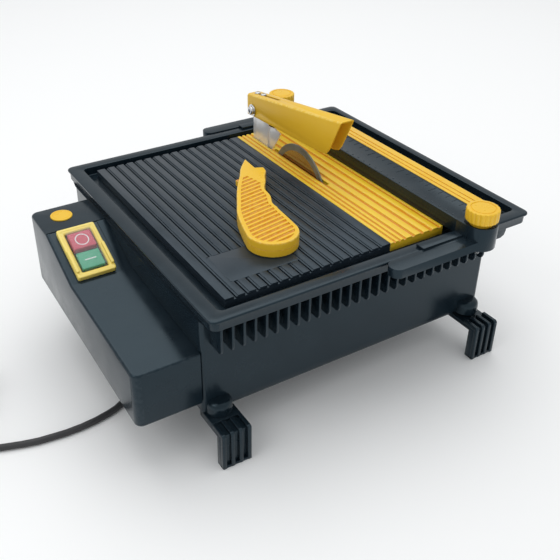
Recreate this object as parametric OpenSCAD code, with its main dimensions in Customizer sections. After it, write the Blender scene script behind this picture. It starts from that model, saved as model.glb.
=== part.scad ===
// Bench tile cutter with a water tub, a ribbed table, a hinged blade guard
// and a rip fence that clamps over the front and rear rim.
// Most modules are drawn in the rim frame: X from the rim's left edge,
// Y from its front edge, Z from the table top. at_rim() places them.

/* [Table and tub] */
// Width of the rim, left to right
rim_w = 390; // [384:1:396]
// Depth of the rim, front to back
rim_d = 362; // [358:1:368]
// Height of the table top above the floor
table_h = 168; // [164:1:180]
// Depth of the tub body below the table top
tub_h = 124; // [122:1:130]
// Thickness of the tub walls
wall = 3; // [2.5:0.5:3.5]
// Pitch of the table grooves
groove_pitch = 11.9; // [11:0.1:12]
// Pitch of the stiffening fins under the rim
fin_pitch = 11.8; // [11.5:0.1:12]

/* [Blade] */
// Diameter of the diamond blade
blade_d = 110; // [100:1:112]
// Depth of the blade axis below the table top
blade_drop = 30.5; // [29:0.5:32]
// Diameter of the motor pulley
motor_pulley_d = 36; // [30:1:40]
// Diameter of the spindle pulley
spindle_pulley_d = 26; // [22:1:27]

/* [Fence] */
// Height of the fence above the table
fence_h = 16; // [14:1:20]
// Diameter of the clamp knobs
knob_d = 34; // [30:1:36]

/* [Guard] */
// Outside width of the guard channel
guard_w = 18; // [17:0.5:20]
// Wall of the guard channel
guard_wall = 1.6; // [1.2:0.2:2]

/* [Feet] */
// Width of one foot
foot_w = 32; // [30:1:34]
// How far a foot stands out past the rim
foot_reach = 12; // [8:1:14]

/* [Hidden] */
$fn = 64;
eps = 0.05;
gap = 0.3;
fit = 0.05;

black = [0.16, 0.18, 0.20];
yellow = [0.93, 0.78, 0.22];
steel = [0.72, 0.72, 0.70];

// Tub body and rim, in the rim frame
housing_w = 67;
origin_x = (rim_w - housing_w) / 2;
body_x0 = 0.5;
body_x1 = rim_w - 33;
body_y0 = 24;
body_y1 = rim_d - 24;
lip_t = 3;
band_h = 12;
band_in = 1.5;
tray_x0 = 15.6;
tray_x1 = rim_w - 10;
tray_y0 = 13.6;
tray_y1 = rim_d - 13.6;
tray_z = -10;
floor_z = -tub_h + wall;
mouth = [34, 32, 350, rim_d - 32];
fin_first = 10.5;
fin_count = 28;
fin_t = 2.6;
fin_z = -41;
side_fin_count = 11;

drain_at = [300, 60];

// Dry motor chamber, open from below
dry = [36, 60, 205, 300];
dry_top = -11.5;
cover_t = 2.4;
post_r = 4;
post_x = [dry[0] + 6, dry[2] - 6];
post_y = [dry[1] + 6, dry[3] - 6];

// Drive train
spin_y = 225;
spin_z = -blade_drop;
blade_x = 242;
blade_t = 1.6;
motor_y = 150;
motor_z = -66;
motor_r = 38;
belt_x = [148, 156];
belt_t = 2;
pulley_r1 = motor_pulley_d / 2;
pulley_r2 = spindle_pulley_d / 2;
shaft_r = 5;
can_x = [56, 132];
can_bore = 35;
bell_t = 8;
stator_x = [68, 120];
stator_bore = 20;
rotor_x = [70, 118];
bearing_r = 13;
bearing_w = 8;
block_x = [174, 194];
flange_r = 19;
flange_t = 4;

// Table
plate_x0 = 29;
plate_x1 = 220;
plate_y0 = 27;
plate_y1 = rim_d - 25;
insert_x0 = 220.3;
insert_x1 = 290;
plate_skin = 5;
groove_w = 2.4;
groove_d = 3;
pad = [48, 49, 123, 98.5];

// Guard side outline (y, z), raised as it is stored
hinge_y = 319;
hinge_z = 40;
guard_x0 = blade_x - guard_w / 2;
guard_x1 = blade_x + guard_w / 2;
guard_side = [
  [332, 57.5], [331.5, 31], [303, 33], [191, 38.6], [170, 40.4],
  [161, 43], [156, 49], [137.5, 87]
];

// Fence
fence_x0 = 289.5;
rail_x0 = 322;
fence_x1 = 342.5;
rail_y1 = 300;
knob_x = 308;
knob_y = -7;
boss_r = 17.5;
boss_recess = [15.6, 2];
boss_z = -10;
stud_z = -21;
knob_z = fence_h + 3;
knob_h = 13;
arm_x0 = 190;
arm_y = -19;

// Switch housing outline (y, z) and the sloping panel
case_y = [60, 270];
case_z = [-62, -82];
cap_at = [-39, 272];
key_y = 11.5;
housing_front = 24;
housing_side = [
  [24, -110], [296, -93], [296, -11], [242, -11], [177, -39], [24, -49]
];
housing_core = [
  [27, -106.8], [293, -90.2], [293, -14], [242.7, -14], [177.7, -42], [27, -52]
];
panel_at = [-36, 209.5, -25];
panel_tilt = atan2(28, 65);

// Feet
foot_x = [body_x0 + 1.5 + foot_w / 2, body_x1 - foot_w / 2];
pivot_y = [body_y0, body_y1];
boss_foot_r = 13.5;
arm_t = 8.5;
leg_t = 12;

// Route of the supply cord above the floor, from the gland to the coil
cord_r = 3.5;
cord_route = [
  [-178, -41, 38], [-178, -41, 35], [-180, -42, 24], [-186, -46, 13],
  [-195, -51, 6], [-206, -57, 3.6], [-215, -62, 3.6], [-225, -65, 3.6],
  [-240, -68, 3.6], [-256, -69.5, 3.6], [-272, -69.5, 3.6], [-286, -68, 3.6],
  [-301, -66, 3.6], [-316, -62, 3.6], [-334, -56, 3.6], [-352, -48, 3.6],
  [-370, -40, 3.6], [-388, -32, 3.6], [-406, -24, 3.6]
];
coil_at = [-390, 15];
coil_in = 31.5;
coil_out = 45.5;
coil_h = 28;
gland_at = [-178, -41];
// Foot of the plug, which lies on the coil
plug_at = [-349, 36.5];
plug_tail = 44;
pin_y = [-9.5, 9.5];
pin_r = 2.4;

// Push stick: spine points with the half width of the handle at each
stick_spine = [
  [117, 87, 27], [121, 108, 25], [126, 130, 22], [133, 148, 19],
  [141, 166, 17], [150, 184, 15], [163, 203, 14.2]
];
stick_tail = [
  [158, 222], [165, 231], [178, 245], [176, 219], [185, 215], [183, 206]
];
stick_h = 16;

module at_rim() translate([-origin_x, -rim_d / 2, table_h]) children();

// Box between two opposite corners
module box(low, high) translate(low) cube(high - low);

// Rounded rectangle between two corners
module round_rect(x0, y0, x1, y1, r) {
  translate([x0 + r, y0]) square([x1 - x0 - 2 * r, y1 - y0]);
  translate([x0, y0 + r]) square([x1 - x0, y1 - y0 - 2 * r]);
  for (x = [x0 + r, x1 - r], y = [y0 + r, y1 - r]) translate([x, y]) circle(r);
}
module slab(x0, y0, x1, y1, r, z0, z1)
  translate([0, 0, z0]) linear_extrude(z1 - z0) round_rect(x0, y0, x1, y1, r);

module rod_x(x0, x1, y, z, r)
  translate([x0, y, z]) rotate([0, 90, 0]) cylinder(h = x1 - x0, r = r);
module rod_z(x, y, z0, z1, r)
  translate([x, y, z0]) cylinder(h = z1 - z0, r = r);
module tube_x(x0, x1, y, z, r, bore) difference() {
  rod_x(x0, x1, y, z, r);
  rod_x(x0 - 1, x1 + 1, y, z, bore);
}
module hex_x(x0, x1, y, z, flats)
  translate([x0, y, z]) rotate([0, 90, 0])
    cylinder(h = x1 - x0, r = flats / sqrt(3), $fn = 6);

// Side outline (y, z) drawn from x0 to x1
module side_plate(x0, x1, points)
  translate([x0, 0, 0]) rotate([90, 0, 90])
    linear_extrude(x1 - x0) polygon(points);

module mirror_y() {
  children();
  translate([0, rim_d, 0]) mirror([0, 1, 0]) children();
}

// ---------------------------------------------------------------- tub

module fins() {
  for (i = [0 : fin_count - 1]) {
    x = fin_first + i * fin_pitch;
    mirror_y() side_plate(x, x + fin_t, [
      [2, -band_h], [2, fin_z + 5], [3.5, fin_z + 1.5], [7, fin_z],
      [body_y0 + 1, fin_z], [body_y0 + 1, -band_h]
    ]);
  }
  for (i = [0 : side_fin_count - 1]) {
    y = body_y0 + i * (body_y1 - body_y0 - fin_t) / (side_fin_count - 1);
    translate([0, y, 0]) rotate([90, 0, 0]) mirror([0, 0, 1])
      linear_extrude(fin_t) polygon([
        [body_x1 - 1, -band_h], [body_x1 - 1, fin_z], [rim_w - 11, fin_z],
        [rim_w - 6, fin_z + 2.5], [rim_w - 4, fin_z + 8], [rim_w - 4, -band_h]
      ]);
  }
}

module screw_posts()
  for (x = post_x, y = post_y)
    rod_z(x, y, -tub_h + cover_t + 0.2, -100, post_r);

module tub() color(black) at_rim() difference() {
  union() {
    difference() {
      union() {
        slab(0, 0, rim_w, rim_d, 7, -lip_t, 0);
        slab(band_in, band_in, rim_w - band_in, rim_d - band_in, 9, -band_h, -lip_t);
        slab(body_x0, body_y0, body_x1, body_y1, 5, -tub_h, -band_h + 1);
        fins();
        for (x = foot_x, y = pivot_y) rod_z(x, y, -tub_h, -tub_h + 15, boss_foot_r);
      }
      slab(tray_x0, tray_y0, tray_x1, tray_y1, 6, tray_z, 1);
      slab(body_x0 + wall, body_y0 + wall, body_x1 - wall, body_y1 - wall, 3,
           floor_z, -band_h);
      slab(mouth[0], mouth[1], mouth[2], mouth[3], 4, -band_h - 1, 1);
    }
    box([dry[0], dry[1], -tub_h], [dry[2], dry[3], dry_top]);
    for (x = foot_x, y = pivot_y) rod_z(x, y, -tub_h, -tub_h + 15, boss_foot_r);
    rod_z(drain_at[0], drain_at[1], -tub_h, floor_z + 3, 12);
  }
  difference() {
    box([dry[0] + wall, dry[1] + wall, -tub_h - 1],
        [dry[2] - wall, dry[3] - wall, dry_top - wall]);
    screw_posts();
  }
  box([dry[0] + 1.5, dry[1] + 1.5, -tub_h - 1],
      [dry[2] - 1.5, dry[3] - 1.5, -tub_h + cover_t + 0.1]);
  for (x = post_x, y = post_y)
    rod_z(x, y, -tub_h - 1, -106, 1.6);
  rod_x(dry[2] - 4, dry[2] + 1, spin_y, spin_z, 11);
  for (x = foot_x, y = pivot_y) {
    rod_z(x, y, -tub_h - 1, -tub_h + 8, 8 + fit);
    rod_z(x, y, -tub_h, -tub_h + 13, 2.5);
  }
  for (y = case_y, z = case_z) rod_x(-1, 5, y, z, 2.1);
  rod_z(drain_at[0], drain_at[1], -tub_h - 1, 0, 7.2);
}

module base_cover() color(black) at_rim() difference() {
  box([dry[0] + 2, dry[1] + 2, -tub_h],
      [dry[2] - 2, dry[3] - 2, -tub_h + cover_t]);
  for (x = post_x, y = post_y)
    rod_z(x, y, -tub_h - 1, -100, 2.1);
  for (i = [0 : 8]) translate([0, 0, -tub_h - 1])
    linear_extrude(5) round_rect(70 + i * 8, 210, 74 + i * 8, 280, 1.9);
}

module screw_z(x, y, z0, shank, head_r = 3.6) {
  rod_z(x, y, z0, z0 + 1.6, head_r);
  rod_z(x, y, z0, z0 + shank, 1.6);
}

module case_screws() color(steel) at_rim() {
  for (x = post_x, y = post_y)
    screw_z(x, y, -tub_h - 1.6, 18);
  for (y = case_y, z = case_z) {
    rod_x(body_x0 + wall, body_x0 + wall + 2, y, z, 3.6);
    rod_x(-12, body_x0 + wall + 1, y, z, 1.6);
  }
}

// ---------------------------------------------------------------- feet

module foot(ix, iy) {
  x = foot_x[ix];
  flip = iy == 0 ? 0 : 1;
  at_rim() translate([0, flip * rim_d, 0]) mirror([0, flip, 0]) {
    difference() {
      union() {
        box([x - foot_w / 2, -foot_reach, -tub_h - arm_t],
            [x + foot_w / 2, body_y0 + 10, -tub_h - gap]);
        box([x - foot_w / 2, -foot_reach, -table_h],
            [x + foot_w / 2, -foot_reach + leg_t, -tub_h - arm_t + eps]);
        rod_z(x, body_y0, -tub_h - gap - eps, -tub_h + 7.5, 8);
      }
      for (i = [-1 : 1]) {
        gx = x + i * foot_w / 4;
        box([gx - 2.2, -foot_reach - 1, -table_h + 3],
            [gx + 2.2, -foot_reach + 7, -tub_h - 2]);
        box([gx - 2.2, -foot_reach - 1, -tub_h - 5],
            [gx + 2.2, body_y0 - boss_foot_r - 2, -tub_h + 1]);
      }
      rod_z(x, body_y0, -tub_h - arm_t - 1, -tub_h + 12, 2.5 + fit);
      rod_z(x, body_y0, -tub_h - arm_t - 1, -tub_h - arm_t + 4, 5.5);
    }
  }
}
module foot_front_left() color(black) foot(0, 0);
module foot_front_right() color(black) foot(1, 0);
module foot_rear_left() color(black) foot(0, 1);
module foot_rear_right() color(black) foot(1, 1);

module foot_screws() color(steel) at_rim()
  for (x = foot_x, y = pivot_y) {
    rod_z(x, y, -tub_h - arm_t + 1, -tub_h - arm_t + 4 - gap, 4.8);
    rod_z(x, y, -tub_h - arm_t + 2, -tub_h + 12.5, 2.5);
  }

module drain_plug() color(black) at_rim() {
  rod_z(drain_at[0], drain_at[1], -tub_h - 4, -tub_h - gap, 10);
  rod_z(drain_at[0], drain_at[1], -tub_h - 1, floor_z + 2, 7.1);
}

// ---------------------------------------------------------------- switch box

module on_panel() translate(panel_at) rotate([panel_tilt, 0, 0]) children();

module switch_housing() color(black) at_rim() difference() {
  intersection() {
    union() {
      difference() {
        side_plate(-housing_w, body_x0 - 0.1, housing_side);
        side_plate(-housing_w + wall, body_x0, housing_core);
      }
      for (y = case_y, z = case_z)
        rod_x(-housing_w + 1, body_x0 - 0.1, y, z, post_r);
    }
    slab(-housing_w, housing_front, 40, 296, 8, -tub_h, 0);
  }
  for (y = case_y, z = case_z) rod_x(-14, 1, y, z, 1.6);
  on_panel() box([-15, -24, -10], [15, 24, 5]);
  rod_z(cap_at[0], cap_at[1], -16, 0, 10);
  box([-62, 241.4, -12.2], [1, 242.6, 0]);
  rod_z(gland_at[0] + origin_x, gland_at[1] + rim_d / 2, -120, -90, 6);
}

module bezel_outline() round_rect(-20.5, -30, 20.5, 30, 4);
module switch_bezel() color(yellow) at_rim() on_panel() difference() {
  union() {
    linear_extrude(4.5) bezel_outline();
    for (side = [-1, 1]) translate([side * 17.6, -11, 4.4])
      box([-1.4, -11, 0], [1.4, 11, 2]);
  }
  translate([0, 0, -1]) linear_extrude(10) round_rect(-14.5, -24, 14.5, 24, 2);
}

module switch_body() color([0.12, 0.12, 0.13]) at_rim() on_panel() difference() {
  box([-14.5, -23.5, -34], [14.5, 23.5, 0]);
  for (y = [-key_y, key_y]) translate([0, y, 0]) box([-12.5, -10.2, -12], [12.5, 10.2, 1]);
}

// Push button that sinks into the switch body, with a flat raised crown
module button(y, proud) translate([0, y, 0]) {
  box([-12.2, -9.9, -9], [12.2, 9.9, proud - 1]);
  box([-11.4, -9.1, proud - 1 - eps], [11.4, 9.1, proud]);
}
module stop_button() color([0.75, 0.16, 0.24]) at_rim() on_panel() button(key_y, 6.5);
module start_button() color([0.08, 0.5, 0.36]) at_rim() on_panel() button(-key_y, 4);

module switch_cover() color([0.85, 0.88, 0.88, 0.35]) at_rim() on_panel()
  difference() {
    translate([0, 0, 0.2]) linear_extrude(7.8) round_rect(-14.2, -23.7, 14.2, 23.7, 2);
    translate([0, 0, -1]) linear_extrude(8.2) round_rect(-13.5, -23, 13.5, 23, 1.5);
  }

module blanking_cap() color(yellow) at_rim() {
  rod_z(cap_at[0], cap_at[1], -11, -9.6, 12);
  rod_z(cap_at[0], cap_at[1], -15, -10, 9.9);
}

module cable_gland() color(black) translate([gland_at[0], gland_at[1], 0]) {
  translate([0, 0, 60]) cylinder(h = 16, r = 5.8);
  translate([0, 0, 60]) cylinder(h = 4, r = 9);
  translate([0, 0, 38]) cylinder(h = 22, r1 = 4.6, r2 = 7);
}

// ---------------------------------------------------------------- cord

function unit(v) = v / norm(v);
function heading(p, i) = unit(p[min(i + 1, len(p) - 1)] - p[max(i - 1, 0)]);
function side_of(t) =
  abs(t[2]) > 0.9 ? unit(cross(t, [0, -1, 0])) : unit(cross(t, [0, 0, 1]));
function ring_at(p, i, sides) = let (t = heading(p, i), a = side_of(t), b = cross(a, t))
  [for (k = [0 : sides - 1]) p[i] + cord_r * (cos(k * 360 / sides) * a + sin(k * 360 / sides) * b)];
function steps(p, n) = concat(
  [for (i = [0 : len(p) - 2], k = [0 : n - 1]) curve_at(p, i, k / n)],
  [p[len(p) - 1]]);
// Point a share u of the way along one smooth stretch between route points
function curve_at(p, i, u) = let (
    a = p[max(i - 1, 0)], b = p[i], c = p[i + 1], d = p[min(i + 2, len(p) - 1)])
  0.5 * (2 * b + (c - a) * u + (2 * a - 5 * b + 4 * c - d) * u * u
    + (3 * b - a - 3 * c + d) * u * u * u);

module swept_tube(path, sides) {
  rings = len(path);
  points = [for (i = [0 : rings - 1]) each ring_at(path, i, sides)];
  walls = [for (i = [0 : rings - 2], k = [0 : sides - 1]) [
    i * sides + k, i * sides + (k + 1) % sides,
    (i + 1) * sides + (k + 1) % sides, (i + 1) * sides + k]];
  first = [for (k = [sides - 1 : -1 : 0]) k];
  last = [for (k = [0 : sides - 1]) (rings - 1) * sides + k];
  polyhedron(points, concat(walls, [first, last]), convexity = 6);
}

module cord() color([0.08, 0.08, 0.09]) swept_tube(steps(cord_route, 2), 10);

module cord_coil() color([0.08, 0.08, 0.09])
  translate([coil_at[0], coil_at[1], 0]) rotate_extrude()
    round_rect(coil_in, 0, coil_out, coil_h, 3.5);

module cord_tie() color([0.25, 0.25, 0.27])
  translate([coil_at[0], coil_at[1] + (coil_in + coil_out) / 2, 0]) difference() {
    box([-3, -8.4, 0], [3, 8.4, coil_h + 1.2]);
    box([-4, -7, -1], [4, 7, coil_h]);
  }

module plug_body() color([0.08, 0.08, 0.09])
  translate([plug_at[0], plug_at[1], coil_h]) difference() {
    union() {
      linear_extrude(15) polygon([
        [-22, -8], [-10, -17.5], [12, -17.5], [15, -15], [15, 15], [12, 17.5],
        [-10, 17.5], [-22, 8]]);
      translate([-plug_tail, 0, 7.5]) rotate([0, 90, 0]) cylinder(h = 24, r1 = 4, r2 = 6.5);
    }
    for (y = pin_y) rod_x(6, 20, y, 7.5, pin_r);
  }

module plug_pins() color(steel) translate([plug_at[0], plug_at[1], coil_h])
  for (y = pin_y) rod_x(6, 34, y, 7.5, pin_r);

// ---------------------------------------------------------------- table

// One long groove with a shallow step beside it
module groove(x, y0, y1) {
  box([x - groove_w / 2, y0, -groove_d], [x + groove_w / 2, y1, 1]);
  box([x + groove_w / 2 - eps, y0, -1], [x + groove_w / 2 + 1.8, y1, 1]);
}

module table_plate() color(black) at_rim() difference() {
  slab(plate_x0, plate_y0, plate_x1, plate_y1, 2, tray_z, 0);
  box([plate_x0 + 4, plate_y0 + 5, tray_z - 1],
      [plate_x1 - 4, plate_y1 - 5, -plate_skin]);
  for (i = [0 : 15]) {
    x = plate_x0 + 10.9 + i * groove_pitch;
    over_pad = x > pad[0] && x < pad[2] + 3;
    if (x < plate_x1 - 4) groove(x, over_pad ? pad[3] : plate_y0 - 1, plate_y1 + 1);
    if (over_pad) groove(x, plate_y0 - 1, pad[1]);
  }
}

module insert_plate() color(yellow) at_rim() difference() {
  slab(insert_x0, plate_y0, insert_x1, plate_y1, 1.5, tray_z, 0);
  box([insert_x0 + 4, plate_y0 + 5, tray_z - 1],
      [insert_x1 - 4, plate_y1 - 5, -plate_skin]);
  for (i = [0 : 4]) {
    x = insert_x0 + 18.6 + i * 11.6;
    box([x - 0.9, plate_y0 - 1, -2], [x + 0.9, plate_y1 + 1, 1]);
  }
  box([insert_x0 + 4, plate_y0 - 1, -0.8], [insert_x0 + 7, plate_y1 + 1, 1]);
  box([blade_x - 2, 166, -12], [blade_x + 2, 280, 1]);
  box([blade_x - 4, 284, -12], [blade_x + 3, 329, 1]);
}

// ---------------------------------------------------------------- motor

module motor_can() color(steel) at_rim()
  tube_x(can_x[0], can_x[1], motor_y, motor_z, motor_r, can_bore);
module stator() color([0.45, 0.32, 0.2]) at_rim()
  tube_x(stator_x[0], stator_x[1], motor_y, motor_z, can_bore, stator_bore);
module end_bells() color([0.6, 0.6, 0.62]) at_rim() {
  tube_x(can_x[0] - bell_t, can_x[0], motor_y, motor_z, motor_r, bearing_r);
  tube_x(can_x[1], can_x[1] + bell_t, motor_y, motor_z, motor_r, bearing_r);
}
module rotor() color([0.5, 0.5, 0.52]) at_rim()
  tube_x(rotor_x[0], rotor_x[1], motor_y, motor_z, stator_bore - 0.5, shaft_r);
module motor_shaft() color(steel) at_rim() rod_x(46, 158, motor_y, motor_z, shaft_r);
module motor_pulley() color([0.6, 0.6, 0.62]) at_rim()
  tube_x(belt_x[0] - 1.5, belt_x[1] + 1.5, motor_y, motor_z, pulley_r1, shaft_r);

module motor_cradle() color([0.35, 0.36, 0.38]) at_rim() difference() {
  for (x = [62, 112]) box([x, 100, -tub_h + cover_t], [x + 12, 200, motor_z - 2]);
  rod_x(60, 130, motor_y, motor_z, motor_r);
}

// Belt: the outline round both pulleys, between an inner and an outer radius
belt_dy = spin_y - motor_y;
belt_dz = spin_z - motor_z;
belt_c = norm([belt_dy, belt_dz]);
module belt_outline(grow) hull() {
  circle(pulley_r1 + grow, $fn = 72);
  translate([belt_c, 0]) circle(pulley_r2 + grow, $fn = 72);
}
module drive_belt() color([0.1, 0.1, 0.1]) at_rim()
  translate([belt_x[0], motor_y, motor_z]) rotate([90, 0, 90])
    rotate([0, 0, atan2(belt_dz, belt_dy)]) linear_extrude(belt_x[1] - belt_x[0])
      difference() {
        belt_outline(gap + belt_t);
        belt_outline(gap);
      }

module bearing_block() color([0.6, 0.6, 0.62]) at_rim() difference() {
  box([block_x[0], spin_y - 17, spin_z - 17], [dry[2] - wall, spin_y + 17, dry_top - wall]);
  rod_x(block_x[0] - 4, dry[2] + 1, spin_y, spin_z, 10);
  rod_x(block_x[0] - 4, block_x[0] + bearing_w, spin_y, spin_z, bearing_r);
  rod_x(block_x[1], dry[2] + 1, spin_y, spin_z, bearing_r);
}

module ball_bearings() color(steel) at_rim() {
  for (x = block_x) tube_x(x, x + bearing_w, spin_y, spin_z, bearing_r, shaft_r + fit);
  for (x = [can_x[0] - bell_t, can_x[1]])
    tube_x(x, x + bearing_w, motor_y, motor_z, bearing_r, shaft_r + fit);
}

module shaft_seal() color([0.1, 0.1, 0.1]) at_rim()
  tube_x(dry[2] - wall, dry[2], spin_y, spin_z, 11, shaft_r + fit);

module spindle() color(steel) at_rim() {
  rod_x(144, 258, spin_y, spin_z, shaft_r);
  rod_x(185, 191, spin_y, spin_z, 8);
}
module spindle_pulley() color([0.6, 0.6, 0.62]) at_rim()
  tube_x(belt_x[0] - 1.5, belt_x[1] + 1.5, spin_y, spin_z, pulley_r2, shaft_r);

blade_x0 = blade_x - blade_t / 2;
blade_x1 = blade_x + blade_t / 2;
module inner_flange() color(steel) at_rim() {
  tube_x(blade_x0 - flange_t, blade_x0, spin_y, spin_z, flange_r, shaft_r);
  tube_x(blade_x0 - 12, blade_x0 - flange_t, spin_y, spin_z, 9, shaft_r);
}
module outer_flange() color(steel) at_rim()
  tube_x(blade_x1, blade_x1 + flange_t, spin_y, spin_z, flange_r, shaft_r);
module arbor_nut() color(steel) at_rim() difference() {
  hex_x(blade_x1 + flange_t, blade_x1 + 11, spin_y, spin_z, 17);
  rod_x(blade_x1, 270, spin_y, spin_z, shaft_r);
}
module blade_core() color([0.5, 0.5, 0.5]) at_rim()
  tube_x(blade_x0, blade_x1, spin_y, spin_z, blade_d / 2 - 8, shaft_r);
module blade_rim() color([0.6, 0.58, 0.5]) at_rim()
  tube_x(blade_x0 - 0.2, blade_x1 + 0.2, spin_y, spin_z, blade_d / 2, blade_d / 2 - 8);

// ---------------------------------------------------------------- knife and guard

module guard_post() color(steel) at_rim() difference() {
  side_plate(blade_x - 3.3, blade_x - 0.8, [
    [293, -50], [293, 42], [300, 49], [312, 50.5], [324, 50], [327, 44], [327, -50]
  ]);
  rod_x(230, 250, hinge_y, hinge_z, 3 + fit);
  for (z = clamp_bolt_z) rod_x(230, 250, clamp_bolt_y, z, 2.5 + fit);
}

module riving_knife() color([0.85, 0.85, 0.85]) at_rim() difference() {
  side_plate(blade_x - 0.8, blade_x + 0.8, [
    [286, -50], [284, 0], [272, 17], [268, 24], [280, 27], [292, 25], [324, 25], [324, -50]
  ]);
  rod_x(230, 250, spin_y, spin_z, blade_d / 2 + 3);
  for (z = clamp_bolt_z) rod_x(230, 250, clamp_bolt_y, z, 2.5 + fit);
}

// Bolts that hold post, knife and bracket together
clamp_bolt_y = 310;
clamp_bolt_z = [-42, -24];
module knife_bracket() color([0.5, 0.5, 0.52]) at_rim() difference() {
  union() {
    box([226, 298, -54], [blade_x - 3.3, 328, -14]);
    box([226, 327, -54], [264, body_y1 - wall, -14]);
  }
  for (z = clamp_bolt_z) rod_x(220, 250, clamp_bolt_y, z, 2.5 + fit);
}

module knife_bolts() color(steel) at_rim() for (z = clamp_bolt_z) {
  rod_x(222, 250, clamp_bolt_y, z, 2.5);
  hex_x(222, 226, clamp_bolt_y, z, 8);
  hex_x(blade_x + 0.8, blade_x + 4.8, clamp_bolt_y, z, 8);
}

module guard() color(yellow) at_rim() difference() {
  side_plate(guard_x0, guard_x1, guard_side);
  side_plate(guard_x0 + guard_wall, guard_x1 - guard_wall, [
    [334, 55.6], [334, 20], [120, 20], [120, 87.9]
  ]);
  rod_x(220, 260, hinge_y, hinge_z, 3 + fit);
  translate([0, 300, 60]) rotate([-8.6, 0, 0]) translate([0, 0, -8])
    linear_extrude(16) round_rect(blade_x - 2, -30, blade_x + 2, 28, 1.9);
}

module guard_screws() color(steel) at_rim()
  for (y = [308, 322]) translate([blade_x, y, 57.5 + (332 - y) * 0.1517])
    rotate([-8.6, 0, 0]) {
      cylinder(h = 1.8, r = 3.6);
      translate([0, 0, -7]) cylinder(h = 8, r = 1.8);
      translate([0, 0, -6]) cylinder(h = 2.5, r = 3.4, $fn = 6);
    }

module guard_bolt() color(steel) at_rim() {
  rod_x(guard_x0 - 3, guard_x1 + 9, hinge_y, hinge_z, 3);
  rod_x(guard_x0 - 5.2, guard_x0 - 1.6, hinge_y, hinge_z, 5.6);
}
module guard_washers() color(steel) at_rim() {
  tube_x(guard_x0 - 1.6, guard_x0 - gap, hinge_y, hinge_z, 7.5, 3);
  tube_x(guard_x1 + gap, guard_x1 + 1.6, hinge_y, hinge_z, 7.5, 3);
}
module guard_nut() color(steel) at_rim() difference() {
  hex_x(guard_x1 + 1.6, guard_x1 + 7, hinge_y, hinge_z, 10);
  rod_x(guard_x1, guard_x1 + 12, hinge_y, hinge_z, 3);
}

// ---------------------------------------------------------------- fence

// Clamp head at the front: round boss outside the rim, arm along the lip
module head() difference() {
  union() {
    difference() {
      rod_z(knob_x, knob_y, boss_z, fence_h, boss_r);
      box([knob_x - 30, -gap, boss_z - 1], [knob_x + 30, 20, gap]);
    }
    difference() {
      slab(arm_x0, arm_y, knob_x, -gap, 9, -9, 1);
      box([knob_x - 10, arm_y - 1, -10], [knob_x + 10, 0, 2]);
    }
    box([238, -2, gap], [knob_x - 10, 9, 3]);
    box([fence_x0, knob_y, gap], [knob_x + boss_r, 9, fence_h]);
  }
  rod_z(knob_x, knob_y, boss_z - 1, fence_h + 1, 3.05);
  rod_z(knob_x, knob_y, fence_h - boss_recess[1], fence_h + 1, boss_recess[0]);
  box([fence_x0 - 5, 9, gap - 1], [knob_x + 30, 30, fence_h + 1]);
}
module fence_head_front() color(black) at_rim() head();
module fence_head_rear() color(black) at_rim()
  translate([0, rim_d, 0]) mirror([0, 1, 0]) head();

module fence_bar() color(black) at_rim() {
  box([fence_x0, 9, gap], [rail_x0, rim_d - 9, fence_h]);
  slab(rail_x0 - 12, 14, fence_x1, rail_y1, 9, gap, 6);
}

module fence_rail() color(yellow) at_rim() difference() {
  slab(rail_x0 - 20, 14, fence_x1, rail_y1, 12, 6, fence_h + 0.6);
  box([rail_x0 - 30, 0, 5], [rail_x0, rim_d, fence_h + 2]);
  for (x = [rail_x0 + 5, rail_x0 + 11.5])
    box([x - 0.8, 0, fence_h - 1], [x + 0.8, rim_d, fence_h + 2]);
}

module clamp_studs() color(steel) at_rim() mirror_y()
  rod_z(knob_x, knob_y, stud_z, knob_z + 8, 3);

module clamp_shoes() color([0.4, 0.4, 0.42]) at_rim() mirror_y() difference() {
  box([knob_x - 9, knob_y - 9, boss_z - 3], [knob_x + 9, -0.5, boss_z]);
  rod_z(knob_x, knob_y, boss_z - 4, boss_z + 1, 3);
}

// Fluted clamp knob on its stud
module knob() translate([knob_x, knob_y, 0]) difference() {
  union() {
    translate([0, 0, fence_h - boss_recess[1] + gap])
      cylinder(h = 3 + boss_recess[1], r = 12);
    translate([0, 0, knob_z]) cylinder(h = knob_h, r = knob_d / 2);
  }
  for (i = [0 : 23]) rotate([0, 0, i * 15]) translate([knob_d / 2 + 0.6, 0, knob_z - 1])
    cylinder(h = knob_h + 2, r = 1.4, $fn = 24);
  translate([0, 0, knob_z + knob_h - 0.8]) difference() {
    cylinder(h = 2, r = 13);
    translate([0, 0, -1]) cylinder(h = 4, r = 11.8);
  }
  translate([0, 0, fence_h - boss_recess[1]]) cylinder(h = 12 + boss_recess[1], r = 3 + fit);
}
module front_knob() color(yellow) at_rim() knob();
module rear_knob() color(yellow) at_rim() translate([0, rim_d, 0]) mirror([0, 1, 0]) knob();

// ---------------------------------------------------------------- push stick

// Unit direction of the handle's spine at point i
function stick_heading(i) =
  let (a = stick_spine[max(i - 1, 0)], b = stick_spine[min(i + 1, len(stick_spine) - 1)])
  unit([b[0] - a[0], b[1] - a[1]]);
function stick_edge(i, side) = let (p = stick_spine[i], t = stick_heading(i))
  [p[0] - side * p[2] * t[1], p[1] + side * p[2] * t[0]];
function stick_side(side) =
  steps([for (i = [0 : len(stick_spine) - 1]) stick_edge(i, side)], 3);
function reversed(list) = [for (i = [len(list) - 1 : -1 : 0]) list[i]];
module stick_outline() {
  p = stick_spine[0];
  t = stick_heading(0);
  start = atan2(t[1], t[0]) - 90;
  cap = [for (k = [1 : 23]) let (a = start - k * 7.5) [p[0] + p[2] * cos(a), p[1] + p[2] * sin(a)]];
  polygon(concat(stick_side(1), stick_tail, reversed(stick_side(-1)), cap));
}
module push_stick() color(yellow) at_rim()
  translate([0, 0, gap]) linear_extrude(stick_h) stick_outline();

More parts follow.
